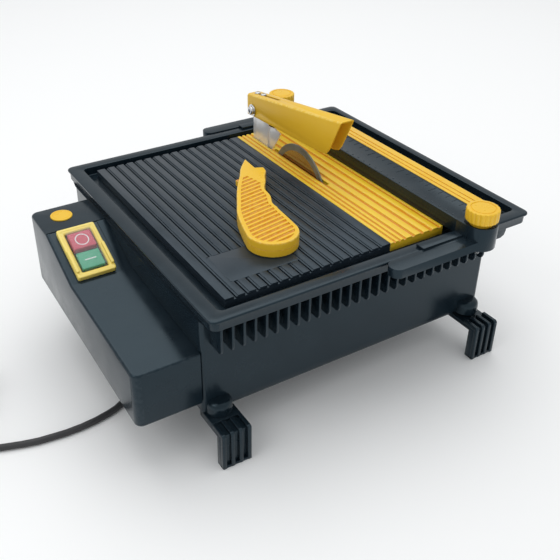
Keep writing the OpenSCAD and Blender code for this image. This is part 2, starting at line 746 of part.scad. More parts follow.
tub();
base_cover();
case_screws();
foot_screws();
switch_housing();
switch_bezel();
switch_cover();
switch_body();
blanking_cap();
cable_gland();
cord();
cord_coil();
cord_tie();
plug_body();
plug_pins();
table_plate();
insert_plate();
motor_can();
stator();
end_bells();
motor_cradle();
drive_belt();
bearing_block();
ball_bearings();
shaft_seal();
guard_post();
riving_knife();
knife_bracket();
knife_bolts();
guard_bolt();
guard_washers();
guard_nut();
spindle();
spindle_pulley();
inner_flange();
outer_flange();
arbor_nut();
blade_core();
blade_rim();
rotor();
motor_shaft();
motor_pulley();
guard();
guard_screws();
fence_bar();
fence_rail();
fence_head_front();
fence_head_rear();
clamp_studs();
clamp_shoes();
front_knob();
rear_knob();
stop_button();
start_button();
push_stick();
foot_front_left();
foot_front_right();
foot_rear_left();
foot_rear_right();
drain_plug();
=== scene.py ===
"""Looks of a bench wet tile cutter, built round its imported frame.

Sizes are in millimetres in the rim frame: X from the rim's left edge, Y from
its front edge, Z from the table top. Space turns them into metres.
"""

import logging
import math
from collections.abc import Callable, Iterable, Sequence
from dataclasses import dataclass, replace
from enum import Enum
from typing import ClassVar

import bmesh
import bpy
from mathutils import Matrix, Vector


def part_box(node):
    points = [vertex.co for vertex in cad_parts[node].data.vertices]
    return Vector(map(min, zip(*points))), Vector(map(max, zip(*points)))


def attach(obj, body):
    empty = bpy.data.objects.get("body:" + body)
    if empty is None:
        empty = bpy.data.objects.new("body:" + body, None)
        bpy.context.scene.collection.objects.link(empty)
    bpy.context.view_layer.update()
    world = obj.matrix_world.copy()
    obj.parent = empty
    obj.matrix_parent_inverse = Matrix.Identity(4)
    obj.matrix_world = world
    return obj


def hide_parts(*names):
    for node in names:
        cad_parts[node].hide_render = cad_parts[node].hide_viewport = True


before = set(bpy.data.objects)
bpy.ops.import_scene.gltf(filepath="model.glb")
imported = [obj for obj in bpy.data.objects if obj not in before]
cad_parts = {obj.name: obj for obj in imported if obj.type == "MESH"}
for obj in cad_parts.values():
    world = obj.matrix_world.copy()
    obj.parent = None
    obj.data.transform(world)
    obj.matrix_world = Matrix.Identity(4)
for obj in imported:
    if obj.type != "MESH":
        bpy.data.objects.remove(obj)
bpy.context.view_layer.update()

LOG = logging.getLogger("tile_cutter")
MM = 0.001
EDGE = "rounded_edge"
FOOT_X = (18, 341)
FOOT_Y = (24, 338)
TUB_DEPTH = 362
BLADE_AXIS = (242, 225, -30.5)
BUMP_DISTANCE = 0.0004
COAT_ROUGHNESS = 0.12
DUST_COLOUR = (0.42, 0.43, 0.44)
DUST_ROUGHENS = 0.5
REAR_MIRROR = Matrix.Translation((0, TUB_DEPTH, 0)) @ Matrix.Scale(-1, 4, (0, 1, 0))
Point = tuple[float, float, float]
Flat = tuple[float, float]
Colour = tuple[float, float, float]
Rect = tuple[float, float, float, float]


class Body(str, Enum):
    """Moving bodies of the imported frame."""

    BASE = "base"
    SPINDLE = "spindle_unit"
    MOTOR = "motor_rotor"
    GUARD = "blade_guard"
    FENCE = "fence"
    FRONT_KNOB = "front_clamp_knob"
    REAR_KNOB = "rear_clamp_knob"
    STOP = "stop"
    START = "start"
    STICK = "stick"
    FOOT_FL = "foot_fl"
    FOOT_FR = "foot_fr"
    FOOT_RL = "foot_rl"
    FOOT_RR = "foot_rr"
    DRAIN = "drain"


class Axis(Enum):
    """Direction in which an outline is drawn out or a profile is turned."""

    X = "x"
    Y = "y"
    Z = "z"


class Join(Enum):
    """How a second shape changes the first."""

    CUT = "DIFFERENCE"
    UNITE = "UNION"
    KEEP = "INTERSECT"


class Space:
    """Turns rim-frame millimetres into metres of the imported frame."""

    def __init__(self) -> None:
        """Takes the origin from the tub's corner and the table's top."""
        tub_low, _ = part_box("tub")
        _, table_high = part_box("table_plate")
        self.origin = Vector((tub_low[0], tub_low[1], table_high[2]))

    def at(self, x: float, y: float, z: float) -> Vector:
        """Returns the frame point of a rim-frame point."""
        return self.origin + Vector((x, y, z)) * MM

    def matrix(self) -> Matrix:
        """Returns the transform from rim-frame millimetres to the frame."""
        return Matrix.Translation(self.origin) @ Matrix.Scale(MM, 4)


SPACE = Space()


# ------------------------------------------------------------------ shaders


def group_tree(
    name: str, inputs: Sequence[tuple[str, str, float | None]], outputs: Sequence[tuple[str, str]]
) -> tuple[bpy.types.NodeTree, bpy.types.Node, bpy.types.Node]:
    """Makes an empty shader group with named sockets.

    Args:
        name: Name of the group.
        inputs: Name, socket type and default of each input.
        outputs: Name and socket type of each output.

    Returns:
        The tree, its input node and its output node.
    """
    tree = bpy.data.node_groups.new(name, "ShaderNodeTree")
    for label, kind, default in inputs:
        socket = tree.interface.new_socket(label, in_out="INPUT", socket_type=kind)
        if default is not None:
            socket.default_value = default
    for label, kind in outputs:
        tree.interface.new_socket(label, in_out="OUTPUT", socket_type=kind)
    return tree, tree.nodes.new("NodeGroupInput"), tree.nodes.new("NodeGroupOutput")


def math_node(
    tree: bpy.types.NodeTree, kind: str, first: object, second: object = None
) -> bpy.types.NodeSocket:
    """Adds a Math node.

    Args:
        tree: Tree that gets the node.
        kind: Operation of the node.
        first: A socket or a number.
        second: A socket or a number, where the operation takes two.

    Returns:
        The node's output socket.
    """
    node = tree.nodes.new("ShaderNodeMath")
    node.operation = kind
    for slot, value in enumerate((first, second)):
        if isinstance(value, bpy.types.NodeSocket):
            tree.links.new(value, node.inputs[slot])
        elif value is not None:
            node.inputs[slot].default_value = value
    return node.outputs[0]


def ranged(
    tree: bpy.types.NodeTree, value: bpy.types.NodeSocket, low: float, high: float,
    to_low: float = 0.0, to_high: float = 1.0,
) -> bpy.types.NodeSocket:
    """Adds a clamped Map Range node.

    Args:
        tree: Tree that gets the node.
        value: Socket to map.
        low: Lowest input.
        high: Highest input.
        to_low: Output at the lowest input.
        to_high: Output at the highest input.

    Returns:
        The mapped socket.
    """
    node = tree.nodes.new("ShaderNodeMapRange")
    for slot, number in enumerate((low, high, to_low, to_high), start=1):
        node.inputs[slot].default_value = number
    tree.links.new(value, node.inputs[0])
    return node.outputs[0]


def noise(
    tree: bpy.types.NodeTree, vector: bpy.types.NodeSocket, scale: object, detail: float = 3.0
) -> bpy.types.NodeSocket:
    """Adds a Noise Texture.

    Args:
        tree: Tree that gets the node.
        vector: Coordinates to read.
        scale: A socket or a number.
        detail: Number of octaves.

    Returns:
        The noise value.
    """
    node = tree.nodes.new("ShaderNodeTexNoise")
    node.inputs["Detail"].default_value = detail
    tree.links.new(vector, node.inputs["Vector"])
    if isinstance(scale, bpy.types.NodeSocket):
        tree.links.new(scale, node.inputs["Scale"])
    else:
        node.inputs["Scale"].default_value = scale
    return node.outputs[0]


class Effects:
    """Shader groups that the finishes share."""

    def __init__(self) -> None:
        """Builds every group once."""
        self.grain = self._grain()
        self.wear = self._wear()
        self.dust = self._dust()
        self.rings = self._rings()

    @staticmethod
    def _grain() -> bpy.types.NodeTree:
        """Returns a fine moulded or cast grain with a slow change of tone."""
        tree, start, end = group_tree(
            "moulded_grain",
            [("Vector", "NodeSocketVector", None), ("Scale", "NodeSocketFloat", 900.0)],
            [("Height", "NodeSocketFloat"), ("Tone", "NodeSocketFloat"),
             ("Fleck", "NodeSocketFloat")],
        )
        links = tree.links
        fine = noise(tree, start.outputs["Vector"], start.outputs["Scale"], 2.0)
        wide = noise(tree, start.outputs["Vector"],
                     math_node(tree, "MULTIPLY", start.outputs["Scale"], 0.02), 4.0)
        cells = tree.nodes.new("ShaderNodeTexVoronoi")
        links.new(start.outputs["Vector"], cells.inputs["Vector"])
        links.new(math_node(tree, "MULTIPLY", start.outputs["Scale"], 0.7), cells.inputs["Scale"])
        height = math_node(tree, "ADD", fine,
                           math_node(tree, "MULTIPLY", cells.outputs["Distance"], 0.5))
        links.new(height, end.inputs["Height"])
        links.new(ranged(tree, wide, 0.35, 0.65), end.inputs["Tone"])
        links.new(ranged(tree, fine, 0.66, 0.74), end.inputs["Fleck"])
        return tree

    @staticmethod
    def _wear() -> bpy.types.NodeTree:
        """Returns a broken mask along outer edges."""
        tree, start, end = group_tree(
            "edge_wear",
            [("Vector", "NodeSocketVector", None), ("Amount", "NodeSocketFloat", 0.5)],
            [("Mask", "NodeSocketFloat")],
        )
        edge = tree.nodes.new("ShaderNodeAttribute")
        edge.attribute_name = EDGE
        patches = ranged(tree, noise(tree, start.outputs["Vector"], 260.0, 5.0), 0.40, 0.62)
        mask = math_node(tree, "MULTIPLY", edge.outputs["Fac"], patches)
        tree.links.new(math_node(tree, "MULTIPLY", mask, start.outputs["Amount"]),
                       end.inputs["Mask"])
        return tree

    @staticmethod
    def _dust() -> bpy.types.NodeTree:
        """Returns a mask of fine dust that lies on faces turned up."""
        tree, start, end = group_tree(
            "settled_dust",
            [("Vector", "NodeSocketVector", None), ("Normal", "NodeSocketVector", None),
             ("Amount", "NodeSocketFloat", 0.2)],
            [("Mask", "NodeSocketFloat")],
        )
        split = tree.nodes.new("ShaderNodeSeparateXYZ")
        tree.links.new(start.outputs["Normal"], split.inputs[0])
        upward = ranged(tree, split.outputs["Z"], 0.4, 1.0, 0.15, 1.0)
        clouds = ranged(tree, noise(tree, start.outputs["Vector"], 38.0, 6.0), 0.4, 0.75)
        mask = math_node(tree, "MULTIPLY", upward, clouds)
        tree.links.new(math_node(tree, "MULTIPLY", mask, start.outputs["Amount"]),
                       end.inputs["Mask"])
        return tree

    @staticmethod
    def _rings() -> bpy.types.NodeTree:
        """Returns turning marks round the X axis of the given coordinates."""
        tree, start, end = group_tree(
            "turning_marks",
            [("Vector", "NodeSocketVector", None), ("Scale", "NodeSocketFloat", 1500.0)],
            [("Height", "NodeSocketFloat")],
        )
        flat = tree.nodes.new("ShaderNodeVectorMath")
        flat.operation = "MULTIPLY"
        flat.inputs[1].default_value = (0.0, 1.0, 1.0)
        length = tree.nodes.new("ShaderNodeVectorMath")
        length.operation = "LENGTH"
        tree.links.new(start.outputs["Vector"], flat.inputs[0])
        tree.links.new(flat.outputs["Vector"], length.inputs[0])
        lines = tree.nodes.new("ShaderNodeTexNoise")
        lines.noise_dimensions = "1D"
        tree.links.new(length.outputs["Value"], lines.inputs["W"])
        tree.links.new(start.outputs["Scale"], lines.inputs["Scale"])
        tree.links.new(lines.outputs[0], end.inputs["Height"])
        return tree


EFFECTS = Effects()


@dataclass(frozen=True)
class Finish:
    """One surface finish with its procedural material.

    Args:
        name: Name of the material.
        colour: Main colour, linear.
        tone: Second colour that the surface drifts to.
        rough: Middle roughness.
        spread: How far roughness drifts either way.
        metallic: Metallic share.
        scale: Frequency of the grain.
        bump: Strength of the grain's bump.
        coat: Weight of a clear coat.
        wear: Share of bare edge that shows.
        wear_colour: Colour of a worn edge.
        dust: Share of pale dust on faces turned up.
        stretch: Scale of the coordinates, for drawn or brushed metal.
        turned_at: Centre of turning marks, in rim-frame millimetres.
        specular: Strength of the plain reflection.
        alpha: Share of the surface that is seen, for a thin clear cover.
        tint: Tint of the plain reflection.
        painted_groove_shade: Painted shade for groove floors, an orange colour that stands in for
            the bounce light there, or nothing.
        painted_groove_shade_z: Heights where the painted groove shade is full and where it ends.
    """

    name: str
    colour: Colour
    tone: Colour
    rough: float
    spread: float = 0.06
    metallic: float = 0.0
    scale: float = 900.0
    bump: float = 0.1
    coat: float = 0.0
    wear: float = 0.0
    wear_colour: Colour = (0.5, 0.5, 0.5)
    dust: float = 0.0
    stretch: Point = (1.0, 1.0, 1.0)
    turned_at: Point | None = None
    specular: float = 0.5
    alpha: float = 1.0
    tint: Colour = (1.0, 1.0, 1.0)
    painted_groove_shade: Colour | None = None
    painted_groove_shade_z: Flat = (0.0, 1.0)
    made: ClassVar[dict[str, bpy.types.Material]] = {}

    def material(self) -> bpy.types.Material:
        """Returns the material, built at its first use."""
        if self.name not in Finish.made:
            Finish.made[self.name] = self._build()
        return Finish.made[self.name]

    def _group(self, tree: bpy.types.NodeTree, kind: bpy.types.NodeTree,
               vector: bpy.types.NodeSocket) -> bpy.types.Node:
        """Returns a node that shows a shared group, fed with coordinates."""
        node = tree.nodes.new("ShaderNodeGroup")
        node.node_tree = kind
        tree.links.new(vector, node.inputs["Vector"])
        return node

    def _mix(
        self, tree: bpy.types.NodeTree, mask: bpy.types.NodeSocket, first: object, second: Colour
    ) -> bpy.types.NodeSocket:
        """Returns the mix of a colour or socket with a second colour, by a mask."""
        node = tree.nodes.new("ShaderNodeMix")
        node.data_type = "RGBA"
        tree.links.new(mask, node.inputs["Factor"])
        if isinstance(first, bpy.types.NodeSocket):
            tree.links.new(first, node.inputs[6])
        else:
            node.inputs[6].default_value = (*first, 1.0)
        node.inputs[7].default_value = (*second, 1.0)
        return node.outputs[2]

    def _painted_shade_mask(self, tree: bpy.types.NodeTree, place: bpy.types.Node) -> bpy.types.NodeSocket:
        """Returns the mask of painted shade: low faces turned up, the floors of grooves."""
        low, high = (SPACE.at(0, 0, z).z for z in self.painted_groove_shade_z)
        point, normal = (tree.nodes.new("ShaderNodeSeparateXYZ") for _ in range(2))
        tree.links.new(place.outputs["Object"], point.inputs[0])
        tree.links.new(place.outputs["Normal"], normal.inputs[0])
        depth = ranged(tree, point.outputs["Z"], low, high, 1.0, 0.0)
        return math_node(tree, "MULTIPLY", depth, ranged(tree, normal.outputs["Z"], 0.1, 0.6))

    def _build(self) -> bpy.types.Material:
        """Returns a new material with grain, tone, painted groove shade, wear and dust."""
        made = bpy.data.materials.new(f"look_{self.name}")
        made.use_nodes = True
        tree = made.node_tree
        shader = tree.nodes["Principled BSDF"]
        place = tree.nodes.new("ShaderNodeTexCoord")
        mapping = tree.nodes.new("ShaderNodeMapping")
        mapping.inputs["Scale"].default_value = self.stretch
        tree.links.new(place.outputs["Object"], mapping.inputs["Vector"])
        grain = self._group(tree, EFFECTS.grain, mapping.outputs[0])
        grain.inputs["Scale"].default_value = self.scale
        height = grain.outputs["Height"]
        if self.turned_at:
            centre = tree.nodes.new("ShaderNodeMapping")
            centre.inputs["Location"].default_value = -SPACE.at(*self.turned_at)
            tree.links.new(place.outputs["Object"], centre.inputs["Vector"])
            height = self._group(tree, EFFECTS.rings, centre.outputs[0]).outputs["Height"]
        colour = self._mix(tree, grain.outputs["Tone"], self.colour, self.tone)
        rough = ranged(
            tree, grain.outputs["Tone"], 0.0, 1.0, self.rough - self.spread,
            self.rough + self.spread
        )
        # Painted shade: groove floors take an orange colour that stands in for bounce light between
        # the ribs.
        if self.painted_groove_shade:
            colour = self._mix(tree, self._painted_shade_mask(tree, place), colour, self.painted_groove_shade)
        if self.wear:
            wear = self._group(tree, EFFECTS.wear, place.outputs["Object"])
            wear.inputs["Amount"].default_value = self.wear
            colour = self._mix(tree, wear.outputs["Mask"], colour, self.wear_colour)
        if self.dust:
            dust = self._group(tree, EFFECTS.dust, place.outputs["Object"])
            dust.inputs["Amount"].default_value = self.dust
            tree.links.new(place.outputs["Normal"], dust.inputs["Normal"])
            colour = self._mix(tree, dust.outputs["Mask"], colour, DUST_COLOUR)
            rough = math_node(tree, "ADD", rough,
                              math_node(tree, "MULTIPLY", dust.outputs["Mask"], DUST_ROUGHENS))
        bump = tree.nodes.new("ShaderNodeBump")
        bump.inputs["Strength"].default_value = self.bump
        bump.inputs["Distance"].default_value = BUMP_DISTANCE
        tree.links.new(height, bump.inputs["Height"])
        tree.links.new(bump.outputs["Normal"], shader.inputs["Normal"])
        tree.links.new(colour, shader.inputs["Base Color"])
        tree.links.new(rough, shader.inputs["Roughness"])
        shader.inputs["Metallic"].default_value = self.metallic
        shader.inputs["Coat Weight"].default_value = self.coat
        shader.inputs["Coat Roughness"].default_value = COAT_ROUGHNESS
        shader.inputs["Specular IOR Level"].default_value = self.specular
        shader.inputs["Specular Tint"].default_value = (*self.tint, 1.0)
        shader.inputs["Alpha"].default_value = self.alpha
        return made


BLACK = Finish("black_plastic", (0.0055, 0.0110, 0.0165), (0.0080, 0.0150, 0.0215), 0.22, 0.04,
               scale=1600, bump=0.03, wear=0.2, wear_colour=(0.05, 0.06, 0.07), dust=0.006,
               specular=0.42,
               tint=(0.60, 0.82, 0.95))
BLACK_TABLE = Finish("black_table", (0.014, 0.022, 0.031), (0.020, 0.029, 0.040), 0.32, 0.04,
                     scale=1900, bump=0.04, wear=0.25, wear_colour=(0.09, 0.11, 0.13), dust=0.01,
                     specular=0.4,
                     tint=(0.66, 0.84, 0.95))
YELLOW = Finish("yellow_plastic", (0.84, 0.49, 0.022), (0.86, 0.53, 0.032), 0.28, 0.04,
                scale=1500, bump=0.04, wear=0.4, wear_colour=(0.92, 0.74, 0.24), specular=0.35)
# Painted shade: orange that stands in for the bounce light in the floors of grooves between yellow
# ribs.
GROOVE_PAINTED_SHADE: Colour = (0.68, 0.25, 0.008)
YELLOW_SOFT = Finish("yellow_ribbed", (0.84, 0.54, 0.024), (0.87, 0.59, 0.034), 0.32, 0.04,
                     scale=1700, bump=0.05, wear=0.5, wear_colour=(0.93, 0.76, 0.28), specular=0.35,
                     painted_groove_shade=GROOVE_PAINTED_SHADE, painted_groove_shade_z=(-1.1, -0.2))
# The rail and the stick get the same painted groove shade.
YELLOW_RAIL = replace(YELLOW, name="yellow_rail", painted_groove_shade=GROOVE_PAINTED_SHADE, painted_groove_shade_z=(15.2, 16.2))
YELLOW_STICK = replace(YELLOW, name="yellow_stick", painted_groove_shade=GROOVE_PAINTED_SHADE, painted_groove_shade_z=(15.0, 15.9))
BEZEL = Finish("bezel_plastic", (0.86, 0.66, 0.13), (0.87, 0.69, 0.17), 0.2, 0.03, scale=1200,
               bump=0.03)
PAINT = Finish("guard_paint", (0.80, 0.47, 0.020), (0.82, 0.51, 0.030), 0.33, 0.02, scale=500,
               bump=0.012, wear=0.5, wear_colour=(0.92, 0.74, 0.24), specular=0.3)
ZINC = Finish("zinc_steel", (0.72, 0.73, 0.73), (0.62, 0.63, 0.65), 0.22, 0.06, metallic=1.0,
              scale=500, bump=0.04)
POLISHED = Finish("polished_steel", (0.88, 0.89, 0.90), (0.82, 0.83, 0.84), 0.30, 0.03,
                  metallic=0.5, scale=400, bump=0.0, stretch=(1.0, 1.0, 0.06))
TURNED = Finish("turned_steel", (0.62, 0.62, 0.61), (0.52, 0.52, 0.52), 0.3, 0.06, metallic=1.0,
                scale=600, bump=0.15, turned_at=BLADE_AXIS)
CAST = Finish("cast_alloy", (0.45, 0.45, 0.46), (0.36, 0.36, 0.37), 0.5, 0.08, metallic=0.9,
              scale=500, bump=0.4)
CRADLE = Finish("cradle_steel", (0.06, 0.062, 0.065), (0.08, 0.082, 0.085), 0.5, 0.06,
                scale=700, bump=0.2, coat=0.2)
COPPER = Finish("windings", (0.45, 0.16, 0.05), (0.30, 0.10, 0.03), 0.4, 0.1, metallic=0.6,
                scale=900, bump=0.8, stretch=(1.0, 6.0, 6.0))
BLADE = Finish("blade_steel", (0.42, 0.36, 0.30), (0.34, 0.29, 0.24), 0.22, 0.04, metallic=1.0,
               scale=600, bump=0.04, turned_at=BLADE_AXIS)
DIAMOND = Finish("diamond_rim", (0.17, 0.18, 0.15), (0.24, 0.25, 0.21), 0.42, 0.06, metallic=0.5,
                 scale=2600, bump=0.35)
SWITCH_BLACK = Finish("switch_black", (0.015, 0.015, 0.017), (0.02, 0.02, 0.022), 0.3, 0.04,
                      scale=1200, bump=0.08)
RED = Finish("stop_red", (0.55, 0.035, 0.085), (0.60, 0.05, 0.10), 0.25, 0.03, scale=1200,
             bump=0.05)
GREEN = Finish("start_green", (0.03, 0.36, 0.19), (0.04, 0.40, 0.22), 0.25, 0.03, scale=1200,
               bump=0.05)
MARK = Finish("marking_white", (0.85, 0.85, 0.85), (0.8, 0.8, 0.8), 0.4, 0.04, scale=1500,
              bump=0.05)
COVER = Finish("clear_cover", (0.55, 0.60, 0.60), (0.50, 0.55, 0.55), 0.06, 0.02, scale=500,
               bump=0.02, alpha=0.09)
RUBBER = Finish("cord_rubber", (0.022, 0.022, 0.024), (0.03, 0.03, 0.032), 0.5, 0.06,
                scale=1800, bump=0.2, dust=0.04)
BELT = Finish("belt_rubber", (0.02, 0.02, 0.02), (0.03, 0.03, 0.03), 0.65, 0.06, scale=1500,
              bump=0.5)
FLOOR = Finish("pale_floor", (0.97, 0.97, 0.97), (0.96, 0.96, 0.96), 0.6, 0.04, scale=60, bump=0.0)


# ------------------------------------------------------------------ shapes


def rounded_rect(rect: Rect, radius: float, z: float, corner: int = 6) -> list[Point]:
    """Draws a rounded rectangle, counter-clockwise from above.

    Args:
        rect: Low X, low Y, high X and high Y.
        radius: Corner radius.
        z: Height of the loop.
        corner: Steps round each corner.

    Returns:
        The loop's points.
    """
    x0, y0, x1, y1 = rect
    centres = [(x1 - radius, y1 - radius, 0), (x0 + radius, y1 - radius, 90),
               (x0 + radius, y0 + radius, 180), (x1 - radius, y0 + radius, 270)]
    points = []
    for cx, cy, start in centres:
        for k in range(corner + 1):
            a = math.radians(start + 90 * k / corner)
            points.append((cx + radius * math.cos(a), cy + radius * math.sin(a), z))
    return points


def circle_loop(radius: float, z: float, count: int = 48) -> list[Point]:
    """Returns a circle round the Z axis."""
    return [
        (radius * math.cos(2 * math.pi * k / count), radius * math.sin(2 * math.pi * k / count), z)
        for k in range(count)
    ]


def hex_loop(flats: float, z: float, count: int = 48) -> list[Point]:
    """Returns a hexagon round the Z axis, with as many points as a circle."""
    points = []
    for k in range(count):
        a = 2 * math.pi * k / count
        local = (a % (math.pi / 3)) - math.pi / 6
        r = flats / 2 / math.cos(local)
        points.append((r * math.cos(a), r * math.sin(a), z))
    return points


class Shape:
    """A mesh under construction, in rim-frame millimetres."""

    def __init__(self) -> None:
        """Starts with an empty mesh."""
        self.bm = bmesh.new()

    @classmethod
    def loft(cls, loops: Sequence[Sequence[Point]], ring: bool = False) -> "Shape":
        """Skins loops of equal length.

        Args:
            loops: The loops, each counter-clockwise from above.
            ring: True to join the last loop to the first, False to cap both.

        Returns:
            The closed shape.
        """
        made = cls()
        rows = [[made.bm.verts.new(p) for p in loop] for loop in loops]
        pairs = list(zip(rows, rows[1:] + (rows[:1] if ring else [])))
        for low, high in pairs:
            for k in range(len(low)):
                n = (k + 1) % len(low)
                made.bm.faces.new((low[k], low[n], high[n], high[k]))
        if not ring:
            made.bm.faces.new(list(reversed(rows[0])))
            made.bm.faces.new(rows[-1])
        return made.fixed()

    @classmethod
    def prism(cls, outline: Sequence[Flat], low: float, high: float, axis: Axis) -> "Shape":
        """Draws a closed outline out along an axis.

        Args:
            outline: Points (y, z) for X, (x, z) for Y or (x, y) for Z.
            low: Where it starts.
            high: Where it ends.
            axis: Direction of the drawing.

        Returns:
            The prism.
        """
        def place(p: Flat, d: float) -> Point:
            """Returns the point of an outline point at a depth."""
            if axis is Axis.X:
                return (d, p[0], p[1])
            return (p[0], d, p[1]) if axis is Axis.Y else (p[0], p[1], d)

        made = cls()
        rows = [[made.bm.verts.new(place(p, d)) for p in outline] for d in (low, high)]
        for k in range(len(outline)):
            n = (k + 1) % len(outline)
            made.bm.faces.new((rows[0][k], rows[0][n], rows[1][n], rows[1][k]))
        made.bm.faces.new(rows[0])
        made.bm.faces.new(rows[1])
        return made.fixed()

    @classmethod
    def block(cls, low: Point, high: Point) -> "Shape":
        """Returns a box between two corners."""
        x0, y0, z0 = low
        x1, y1, z1 = high
        return cls.prism([(x0, y0), (x1, y0), (x1, y1), (x0, y1)], z0, z1, Axis.Z)

    @classmethod
    def lathe(cls, profile: Sequence[Flat], count: int = 48, hollow: bool = False) -> "Shape":
        """Turns a profile of (radius, height) points round the Z axis."""
        return cls.loft([circle_loop(r, z, count) for r, z in profile], ring=hollow)

    @classmethod
    def from_node(cls, node: str) -> "Shape":
        """Copies a CAD node's mesh, merged, in rim-frame millimetres."""
        made = cls()
        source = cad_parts[node]
        made.bm.from_mesh(source.data)
        made.bm.transform(SPACE.matrix().inverted() @ source.matrix_world)
        bmesh.ops.remove_doubles(made.bm, verts=made.bm.verts, dist=0.002)
        bmesh.ops.dissolve_limit(
            made.bm, angle_limit=math.radians(0.6), verts=made.bm.verts, edges=made.bm.edges
        )
        return made

    def fixed(self) -> "Shape":
        """Points every face outwards."""
        bmesh.ops.recalc_face_normals(self.bm, faces=self.bm.faces)
        return self

    def bevel(
        self, width: float, segments: int = 2, angle: float = 30.0,
        pick: Callable[[Vector, Vector], bool] | None = None,
    ) -> "Shape":
        """Rounds sharp edges.

        Args:
            width: Width of the rounding.
            segments: Steps across it.
            angle: Edges flatter than this, in degrees, are left.
            pick: Chooses edges by their two end points.

        Returns:
            The same shape.
        """
        limit = math.radians(angle)
        edges = [
            e for e in self.bm.edges
            if len(e.link_faces) == 2 and e.calc_face_angle(0.0) > limit
            and (pick is None or pick(e.verts[0].co, e.verts[1].co))
        ]
        if edges:
            layer = self._edge_layer()
            made = bmesh.ops.bevel(
                self.bm, geom=edges, offset=width, segments=segments, profile=0.5,
                affect="EDGES", clamp_overlap=True,
            )
            for face in made["faces"]:
                face[layer] = 1.0
        return self

    def _edge_layer(self) -> bmesh.types.BMLayerItem:
        """Returns the face layer that marks rounded edges."""
        layers = self.bm.faces.layers.float
        return layers.get(EDGE) or layers.new(EDGE)

    def moved(self, matrix: Matrix) -> "Shape":
        """Moves the whole shape."""
        self.bm.transform(matrix)
        if matrix.determinant() < 0:
            bmesh.ops.reverse_faces(self.bm, faces=self.bm.faces)
        return self

    def shifted(self, x: float = 0.0, y: float = 0.0, z: float = 0.0) -> "Shape":
        """Shifts the whole shape."""
        return self.moved(Matrix.Translation((x, y, z)))

    def copy(self) -> "Shape":
        """Returns a copy."""
        made = Shape()
        made.bm.free()
        made.bm = self.bm.copy()
        return made

    def add(self, *others: "Shape") -> "Shape":
        """Takes in other shapes as they are."""
        for other in others:
            mesh = bpy.data.meshes.new("passing")
            other.bm.to_mesh(mesh)
            self.bm.from_mesh(mesh)
            bpy.data.meshes.remove(mesh)
        return self

    def _raw(self, name: str) -> bpy.types.Object:
        """Returns a plain object that still holds millimetres."""
        mesh = bpy.data.meshes.new(name)
        self.bm.to_mesh(mesh)
        made = bpy.data.objects.new(name, mesh)
        bpy.context.scene.collection.objects.link(made)
        return made

    def combined(self, other: "Shape", how: Join = Join.CUT) -> "Shape":
        """Cuts another shape out, unites with it or keeps what both share.

        Args:
            other: The second shape.
            how: What to do with it.

        Returns:
            The same shape with the result in it.
        """
        mine, theirs = self._raw("mine"), other._raw("theirs")
        change = mine.modifiers.new("change", "BOOLEAN")
        change.operation = how.value
        change.solver = "EXACT"
        change.object = theirs
        result = evaluated_mesh(mine)
        self.bm.clear()
        self.bm.from_mesh(result)
        for thing in (mine, theirs):
            bpy.data.objects.remove(thing)
        bpy.data.meshes.remove(result)
        return self

    def array(self, layout: "Layout", finish: Finish, name: str) -> "Shape":
        """Repeats the shape by a layout and keeps the result as the shape."""
        result = layout.applied(self._raw(name), finish)
        self.bm.clear()
        self.bm.from_mesh(result)
        bpy.data.meshes.remove(result)
        return self

    def piece(
        self, name: str, body: Body, finish: Finish, stands_for: Iterable[str] = (),
        slot: str | None = None, smooth: float = 38.0,
    ) -> bpy.types.Object:
        """Makes the finished piece.

        Args:
            name: Name of the piece.
            body: Body that it rides on.
            finish: Finish of the whole piece.
            stands_for: CAD nodes that it replaces.
            slot: Material slot of the record; not used.
            smooth: Edges flatter than this, in degrees, are shaded smooth.

        Returns:
            The piece.
        """
        self.bm.transform(SPACE.matrix())
        mesh = bpy.data.meshes.new(name)
        self.bm.to_mesh(mesh)
        self.bm.free()
        mesh.materials.clear()
        mesh.materials.append(finish.material())
        for polygon in mesh.polygons:
            polygon.material_index = 0
            polygon.use_smooth = True
        mesh.set_sharp_from_angle(angle=math.radians(smooth))
        made = bpy.data.objects.new(name, mesh)
        bpy.context.scene.collection.objects.link(made)
        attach(made, body.value)
        nodes = list(stands_for)
        if nodes:
            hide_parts(*nodes)
        LOG.info("%s: %d faces", name, len(mesh.polygons))
        return made


def evaluated_mesh(thing: bpy.types.Object) -> bpy.types.Mesh:
    """Returns a plain mesh of an object with its modifiers applied."""
    bpy.context.view_layer.update()
    graph = bpy.context.evaluated_depsgraph_get()
    return bpy.data.meshes.new_from_object(thing.evaluated_get(graph))


# ------------------------------------------------------------------ layouts


